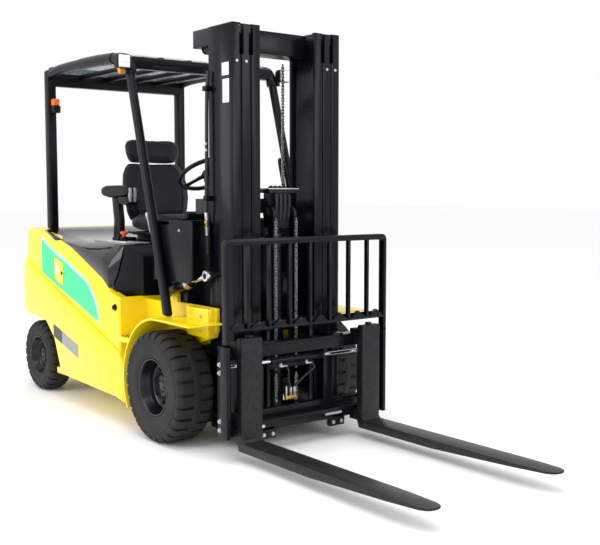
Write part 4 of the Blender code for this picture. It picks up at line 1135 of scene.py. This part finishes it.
labels = [block(xs(0.290, 0.350), (-0.3412, -0.3402), (1.868, 1.930), 0.0),
          block(xs(0.296, 0.352), (-0.3412, -0.3402), (1.735, 1.850), 0.0)]
rail_labels = put("rail_labels", labels, label_white, "outer_mast")
# Sheaves at the head of the outer stage: greased steel discs on zinc pins.
discs = []
for y in (-0.308, -0.252, 0.252, 0.308):
    disc = revolved(mirrored([(0.0, 0.0075), (0.010, 0.0075), (0.012, 0.0045), (0.040, 0.0045),
                              (0.044, 0.0085), (0.048, 0.0085)]), 40, False)
    disc.transform(Matrix.Translation(spot(0.110, y, 2.040)))
    discs.append(disc)
head_sheaves = put("head_sheaves", discs, worn_steel, "outer_mast", 40.0)


# ---- lift cylinders, rods and hose line ---------------------------------------------
# Drawn-tube cylinders in black enamel with a knurled gland nut, ground and hard-chromed
# rods, and a steel-wire hose line beside the right rail with swaged zinc and brass ends.
# Hard chrome: bright and smooth, with a trace of oil.
hard_chrome = finish("chrome hard ground", "#D4D6DA", "#C6C9CE", 0.10, 0.05, 1.0, 0.01, metal=1.0,
                     patch_mm=40.0)
# Brass fittings: dull yellow, slightly tarnished.
brass = finish("brass fitting", "#B8964A", "#A08040", 0.30, 0.08, 1.0, 0.02, metal=1.0, patch_mm=20.0)
# Hose rubber: near black, matt, with a fine cloth print.
hose_rubber = finish("hose rubber moulded", "#15161A", "#1E2024", 0.55, 0.08, 1.2, 0.10)
LIFT_Y = 0.262
for side, label in SIDES:
    barrel = softened("lift_cylinder_" + label, 0.0015)
    gland = tube(spot(0.118, side * LIFT_Y, 1.770), spot(0.118, side * LIFT_Y, 1.7995), 0.0395, 36, 0.002)
    bore = tube(spot(0.118, side * LIFT_Y, 1.700), spot(0.118, side * LIFT_Y, 1.900), 0.0285, 36)
    lift = put("lift_barrel_" + label, [barrel, carve(gland, bore, "DIFFERENCE")], mast_enamel,
               body_of("lift_cylinder_" + label), 40.0)
    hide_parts("lift_cylinder_" + label)
    ram = put("lift_ram_" + label, softened("lift_rod_" + label, 0.001), hard_chrome,
              body_of("lift_rod_" + label), 40.0)
    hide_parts("lift_rod_" + label)
barrel = softened("free_lift_cylinder", 0.0015)
free_barrel = put("free_lift_barrel", barrel, mast_enamel, body_of("free_lift_cylinder"), 40.0)
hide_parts("free_lift_cylinder")
line_x = AX + 0.180
line = [Vector((line_x, -0.362, 0.980)), Vector((line_x - 0.004, -0.366, 1.200)),
        Vector((line_x, -0.364, 1.420)), Vector((line_x, -0.360, 1.760)),
        Vector((line_x + 0.006, -0.356, 1.900))]
hose_line = put("mast_hose_line", piping(bow(line, 8), 0.0095), hose_rubber, "outer_mast", 60.0)
fittings = []
for low, high, radius in ((1.150, 1.190, 0.0125), (1.075, 1.118, 0.0125), (1.500, 1.512, 0.0135),
                          (1.532, 1.544, 0.0135)):
    fittings.append(tube((line_x - 0.002, -0.364, low), (line_x - 0.002, -0.364, high), radius, 6, 0.001))
hose_swages = put("hose_swages", fittings, zinc, "outer_mast")
hose_union = put("hose_union",
                 tube((line_x - 0.002, -0.364, 1.120), (line_x - 0.002, -0.364, 1.148), 0.0140, 6, 0.001),
                 brass, "outer_mast")
clamps = []
for z in (1.250, 1.800):
    clamps.append(block((line_x - 0.016, line_x + 0.016), (-0.378, -0.3405), (z, z + 0.026), 0.003))
hose_clamps = put("hose_clamps", clamps, mast_enamel, "outer_mast")


# ---- free-lift crosshead, sheaves and leaf chains -----------------------------------
# Forged crosshead on the free-lift rod with two grooved chain sheaves and a pressed hose
# bridge, and two leaf chains of riveted figure-eight plates, oiled, down to the carriage.
CHAIN_YS = (-0.066, 0.066)
head = softened("free_lift_rod", 0.0015)
sheaves = []
for y in CHAIN_YS:
    disc = revolved(mirrored([(0.0, 0.0115), (0.018, 0.0115), (0.020, 0.0080), (0.034, 0.0080),
                              (0.038, 0.0100), (0.0450, 0.0100), (0.0456, 0.0090),
                              (0.0420, 0.0075)]), 48, False)
    disc.transform(Matrix.Translation(spot(0.310, y, 1.180)))
    sheaves.append(disc)
crosshead = put("crosshead_and_sheaves", [head] + sheaves, worn_steel, body_of("free_lift_rod"), 40.0)
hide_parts("free_lift_rod")
bridge = [block(xs(0.240, 0.345), (-0.100, 0.100), (1.3105, 1.3145), 0.001)]
hoses = []
for y in (-0.042, -0.014, 0.014, 0.042):
    loop = [spot(0.318, y, 1.110), spot(0.336, y, 1.240), spot(0.322, y, 1.296),
            spot(0.290, y, 1.322), spot(0.258, y, 1.300)]
    hoses.append(piping(bow(loop, 8), 0.0075))
hose_bridge = put("hose_bridge", bridge, satin_aluminium, body_of("free_lift_rod"))
bridge_hoses = put("bridge_hoses", hoses, hose_rubber, body_of("free_lift_rod"), 60.0)


# Chain plates: pale steel, lightened as a painted highlight so the strands read bright, mottled in small
# patches with dark oil.
chain_steel_painted_highlight = finish("chain steel oiled with painted highlight", "#B4B7BC", "#3A3C40", 0.30, 0.12, 4.0, 0.04, metal=0.8,
                     patch_mm=9.0)


def leaf_chain(y, low, high, x):
    """Two-pitch link of four plates and two pins, copied up the strand."""
    pitch = 0.0159
    outline = []
    for centre, first in ((pitch, 0), (0.0, 180)):
        for i in range(7):
            turn = math.radians(first + 180 * i / 6)
            outline.append((0.0047 * math.cos(turn), centre + 0.0060 * math.sin(turn)))
    outline.insert(7, (-0.0034, pitch / 2))
    outline.append((0.0034, pitch / 2))
    parts = []
    for offset, lift in ((-0.0065, 0.0), (-0.0022, pitch), (0.0022, pitch), (0.0065, 0.0)):
        shape = [(px, pz + lift) for px, pz in outline]
        parts.append(slab(shape, offset - 0.0009, offset + 0.0009, "XZ", 0.0))
    for centre in (0.0, pitch):
        parts.append(tube((0, -0.0090, centre), (0, 0.0090, centre), 0.0030, 10))
    count = int((high - low) / (2 * pitch))
    link = gathered(parts)
    return repeated(link, count, step=(0, 0, 2 * pitch), at=(x, y, low + 0.006), material=chain_steel_painted_highlight)


chain_x = AX + 0.3613
strands = [leaf_chain(y, 0.420, 1.180, chain_x) for y in CHAIN_YS]
upper_chain = put("leaf_chain_upper", strands, chain_steel_painted_highlight, "carriage", 40.0)
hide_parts("lift_chain")
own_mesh(upper_chain)
strands = [leaf_chain(y, 0.215, 0.372, chain_x) for y in CHAIN_YS]
for y in CHAIN_YS:
    strands += [tube((chain_x, y, 0.372), (chain_x, y, 0.418), 0.0075, 16, 0.001),
                tube((chain_x, y, 0.200), (chain_x, y, 0.218), 0.0105, 6, 0.001)]
lower_chain = put("leaf_chain_lower", strands, chain_steel_painted_highlight, "carriage", 40.0)
strands = [leaf_chain(y, 1.330, 1.990, AX + 0.150) for y in (-0.140, 0.140)]
mast_chain = put("stage_chains", strands, chain_steel_painted_highlight, "inner_mast", 40.0)


# ---- carriage and side-shifter -------------------------------------------------------
# Flame-cut and welded bars in satin black. The shifter's upper bar is notched for the
# fork latches, and bolted retainers hook under both bars.
plates = [softened("carriage", 0.0025)]
for side in (-1, 1):
    plates.append(block(xs(0.400, 0.434), span(side, 0.195, 0.262), (0.195, 0.475), 0.003))
fork_carriage = put("fork_carriage", plates, mast_enamel, "carriage", 40.0)
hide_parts("carriage")
# The shifter's two bars are tied at their ends, so the cylinder shows between them.
BAR_X = (AX + 0.480, AX + 0.517)
bars = [block(BAR_X, (-0.4915, 0.4915), (0.486, 0.550), 0.004, 3),
        block(BAR_X, (-0.4915, 0.4915), (0.112, 0.164), 0.004, 3)]
for side in (-1, 1):
    bars.append(block(BAR_X, span(side, 0.450, 0.4915), (0.120, 0.540), 0.003))
    ys = span(side, 0.190, 0.260)
    bars += [block(xs(0.406, 0.517), ys, (0.5405, 0.560), 0.003),
             block(xs(0.406, 0.517), ys, (0.104, 0.1295), 0.003)]
shifter_frame = put("shifter_frame", bars, mast_enamel, "side_shifter", 40.0)
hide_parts("side_shifter")
notch = block(xs(0.5168, 0.5180), (-0.0120, 0.0120), (0.5245, 0.5300), 0.0)
notches = put("latch_notches",
              repeated(notch, 14, step=(0, 0.0380, 0), at=(0, -0.247, 0), material=worn_steel), worn_steel,
              "side_shifter")
strip = [block(xs(0.5168, 0.5182), (-0.300, -0.250), (0.1300, 0.1440), 0.0),
         block(xs(0.5168, 0.5182), (0.140, 0.250), (0.1330, 0.1450), 0.0)]
bar_wear = put("bar_wear_marks", strip, satin_aluminium, "side_shifter")
keepers = []
bolts = []
for y in (-0.225, 0.225):
    keepers.append(block(xs(0.484, 0.514), (y - 0.050, y + 0.050), (0.068, 0.1115), 0.005))
    for step in (-0.028, 0.028):
        bolts.append(bolt(spot(0.5142, y + step, 0.090), (1, 0, 0), 0.014))
lower_keepers = put("lower_keepers", keepers, mast_enamel, "side_shifter")
keeper_bolts = put("keeper_bolts", bolts, zinc, "side_shifter")


# ---- side-shift cylinder and hoses ---------------------------------------------------
# Black double-ended cylinder between two posts of the carriage, with chromed rods and a
# pair of hoses curling down to a brass and zinc manifold above the lower bar.
RAM_X = 0.456
RAM_Z = 0.445
posts = []
for side in (-1, 1):
    ys = span(side, 0.425, 0.445)
    posts += [block(xs(0.4363, 0.474), ys, (RAM_Z - 0.030, RAM_Z + 0.030), 0.004),
              block(xs(0.4363, 0.445), ys, (0.180, 0.486), 0.002)]
posts.append(tube(spot(RAM_X, -0.170, RAM_Z), spot(RAM_X, 0.170, RAM_Z), 0.0175, 36, 0.002))
for side in (-1, 1):
    ys = (side * 0.150, side * 0.171)
    posts.append(tube(spot(RAM_X, ys[0], RAM_Z), spot(RAM_X, ys[1], RAM_Z), 0.0190, 36, 0.002))
shift_barrel = put("side_shift_barrel", posts, mast_enamel, "carriage")
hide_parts("side_shift_cylinder")
rods = []
for side in (-1, 1):
    rods.append(tube(spot(RAM_X, side * 0.168, RAM_Z), spot(RAM_X, side * 0.428, RAM_Z), 0.0100, 28))
shift_rods = put("side_shift_rods", rods, hard_chrome, "carriage")
elbows = []
hoses = []
for y, foot in ((-0.105, -0.042), (0.060, -0.018)):
    elbows += [tube(spot(RAM_X, y, RAM_Z - 0.017), spot(RAM_X, y, RAM_Z - 0.034), 0.0075, 6, 0.0005),
               tube(spot(RAM_X, y - 0.006, RAM_Z - 0.034), spot(RAM_X, y + 0.040, RAM_Z - 0.034), 0.0060, 16,
                    0.0005),
               tube(spot(RAM_X, foot, 0.258), spot(RAM_X, foot, 0.298), 0.0070, 6, 0.0005)]
    bend = [spot(RAM_X, y + 0.030, RAM_Z - 0.034), spot(0.462, y + 0.046, RAM_Z - 0.060),
            spot(0.462, (y + foot) / 2 + 0.012, 0.340), spot(RAM_X, foot, 0.296)]
    hoses.append(piping(bow(bend, 8), 0.0060))
elbows.append(tube(spot(RAM_X, -0.070, 0.236), spot(RAM_X, -0.070, 0.305), 0.0055, 16, 0.0005))
shift_elbows = put("side_shift_elbows", elbows, zinc, "carriage")
shift_hoses = put("side_shift_hoses", hoses, hose_rubber, "carriage", 60.0)
manifold = [block(xs(0.448, 0.464), (-0.078, -0.008), (0.238, 0.254), 0.002),
            tube(spot(RAM_X, -0.018, 0.236), spot(RAM_X, -0.018, 0.260), 0.0085, 6, 0.0005),
            tube(spot(RAM_X, -0.042, 0.236), spot(RAM_X, -0.042, 0.260), 0.0085, 6, 0.0005)]
shift_manifold = put("side_shift_manifold", manifold, brass, "carriage")


# ---- load backrest -------------------------------------------------------------------
# Welded flat-bar grid with rounded upper corners, seven uprights, and saw-tooth gussets
# along the cross member; satin black, bolted to the shifter's ends with zinc bolts.
REST_Y = 0.512
REST_TOP = 1.074
rest = []
frame_line = [(-REST_Y, 0.560)] + arc(0.030, 180, 90, 6, -REST_Y + 0.030, REST_TOP - 0.030)
frame_line += [(-y, z) for y, z in reversed(frame_line)]
inner_line = [(-REST_Y + 0.020, 0.560)] + arc(0.010, 180, 90, 6, -REST_Y + 0.030, REST_TOP - 0.040)
inner_line += [(-y, z) for y, z in reversed(inner_line)]
rest.append(slab(frame_line + inner_line[::-1], AX + 0.535, AX + 0.575, "YZ", 0.002))
for side in (-1, 1):
    rest.append(slab(axle_frame([(0.490, 0.118), (0.575, 0.118), (0.575, 0.575), (0.545, 0.575),
                                 (0.510, 0.530), (0.490, 0.500)]), *span(side, 0.492, REST_Y), edge=0.002))
rest += [block(xs(0.545, 0.575), (-0.495, 0.495), (0.632, 0.642), 0.002),
         block(xs(0.545, 0.552), (-0.495, 0.495), (0.625, 0.665), 0.002)]
tooth = slab([(-0.0500, 0.640), (0.0500, 0.640), (0.0000, 0.676)], AX + 0.550, AX + 0.574, "YZ", 0.0015)
rest.append(repeated(tooth, 8, step=(0, 0.1275, 0), at=(0, -0.44625, 0), material=mast_enamel))
bar = block(xs(0.548, 0.572), (-0.0075, 0.0075), (0.640, REST_TOP - 0.010), 0.002)
rest.append(repeated(bar, 7, step=(0, 0.1275, 0), at=(0, -0.3825, 0), material=mast_enamel))
backrest = put("load_backrest_grid", rest, mast_enamel, body_of("load_backrest"))
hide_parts("load_backrest")
bolts = []
for side in (-1, 1):
    for x, z in ((0.514, 0.474), (0.514, 0.434), (0.514, 0.198), (0.514, 0.156)):
        bolts.append(bolt(spot(x, side * (REST_Y + 0.0002), z), (0, side, 0), 0.017))
rest_bolts = put("backrest_bolts", bolts, zinc, body_of("load_backrest"))


# ---- forks ---------------------------------------------------------------------------
# Forged alloy-steel forks with hooks and a spring latch on top; thin black enamel over
# the steel, rubbed grey in small patches, with dust low down.
# Fork steel: thin black enamel over forged steel, rubbed in small patches.
fork_steel = finish("fork steel worn enamel", "#0E1014", "#1C1E23", 0.38, 0.12, 5.0, 0.10, metal=0.2,
                    dust=0.10, patch_mm=34.0, gleam=0.3)
for side, label in SIDES:
    shape = softened("fork_" + label, 0.0)
    y = side * 0.383
    plan = [(AX + 0.400, y - 0.100), (AX + 1.600, y - 0.100), (AX + 1.6001, y - 0.061),
            (AX + 1.775, y - 0.052)]
    plan += [(AX + 1.785 + 0.035 * math.sin(math.radians(a)), y - 0.046 * math.cos(math.radians(a)))
             for a in range(0, 181, 15)]
    plan += [(AX + 1.775, y + 0.052), (AX + 1.6001, y + 0.061), (AX + 1.600, y + 0.100),
             (AX + 0.400, y + 0.100)]
    shape = rounded(carve(shape, slab(plan, 0.000, 0.900, "XY", 0.0), "INTERSECT"), 0.004, 3)
    latch = block(xs(0.562, 0.590), (side * 0.383 - 0.014, side * 0.383 + 0.014), (0.598, 0.612), 0.004)
    fork = put("fork_blade_" + label, [shape, latch], fork_steel, body_of("fork_" + label), 40.0)
    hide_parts("fork_" + label)


# ---- tilt cylinders ------------------------------------------------------------------
# Short double-acting cylinders: black barrel with zinc and brass end rings, a chromed rod,
# and a zinc clevis on a greased pin at each end.
TILT_Y = 0.412
for side, label in SIDES:
    start = spot(-0.140, side * TILT_Y, 0.765)
    end = spot(0.250, side * TILT_Y, 0.875)
    along = (end - start).normalized()
    barrel = put("tilt_barrel_" + label, softened("tilt_cylinder_" + label, 0.0012), mast_enamel,
                 body_of("tilt_cylinder_" + label), 40.0)
    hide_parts("tilt_cylinder_" + label)
    ram = put("tilt_ram_" + label, softened("tilt_rod_" + label, 0.0008), hard_chrome,
              body_of("tilt_rod_" + label), 40.0)
    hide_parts("tilt_rod_" + label)
    for title, first, last, material, name in (("zinc_ring_", 0.205, 0.232, zinc, "chrome"),
                                               ("brass_ring_", 0.232, 0.2495, brass, "worn_steel")):
        ring = carve(tube(start + along * first, start + along * last, 0.0305, 40, 0.001),
                     tube(start + along * (first - 0.02), start + along * (last + 0.02), 0.0265, 40),
                     "DIFFERENCE")
        piece = put("tilt_" + title + label, ring, material, body_of("tilt_cylinder_" + label), 40.0)
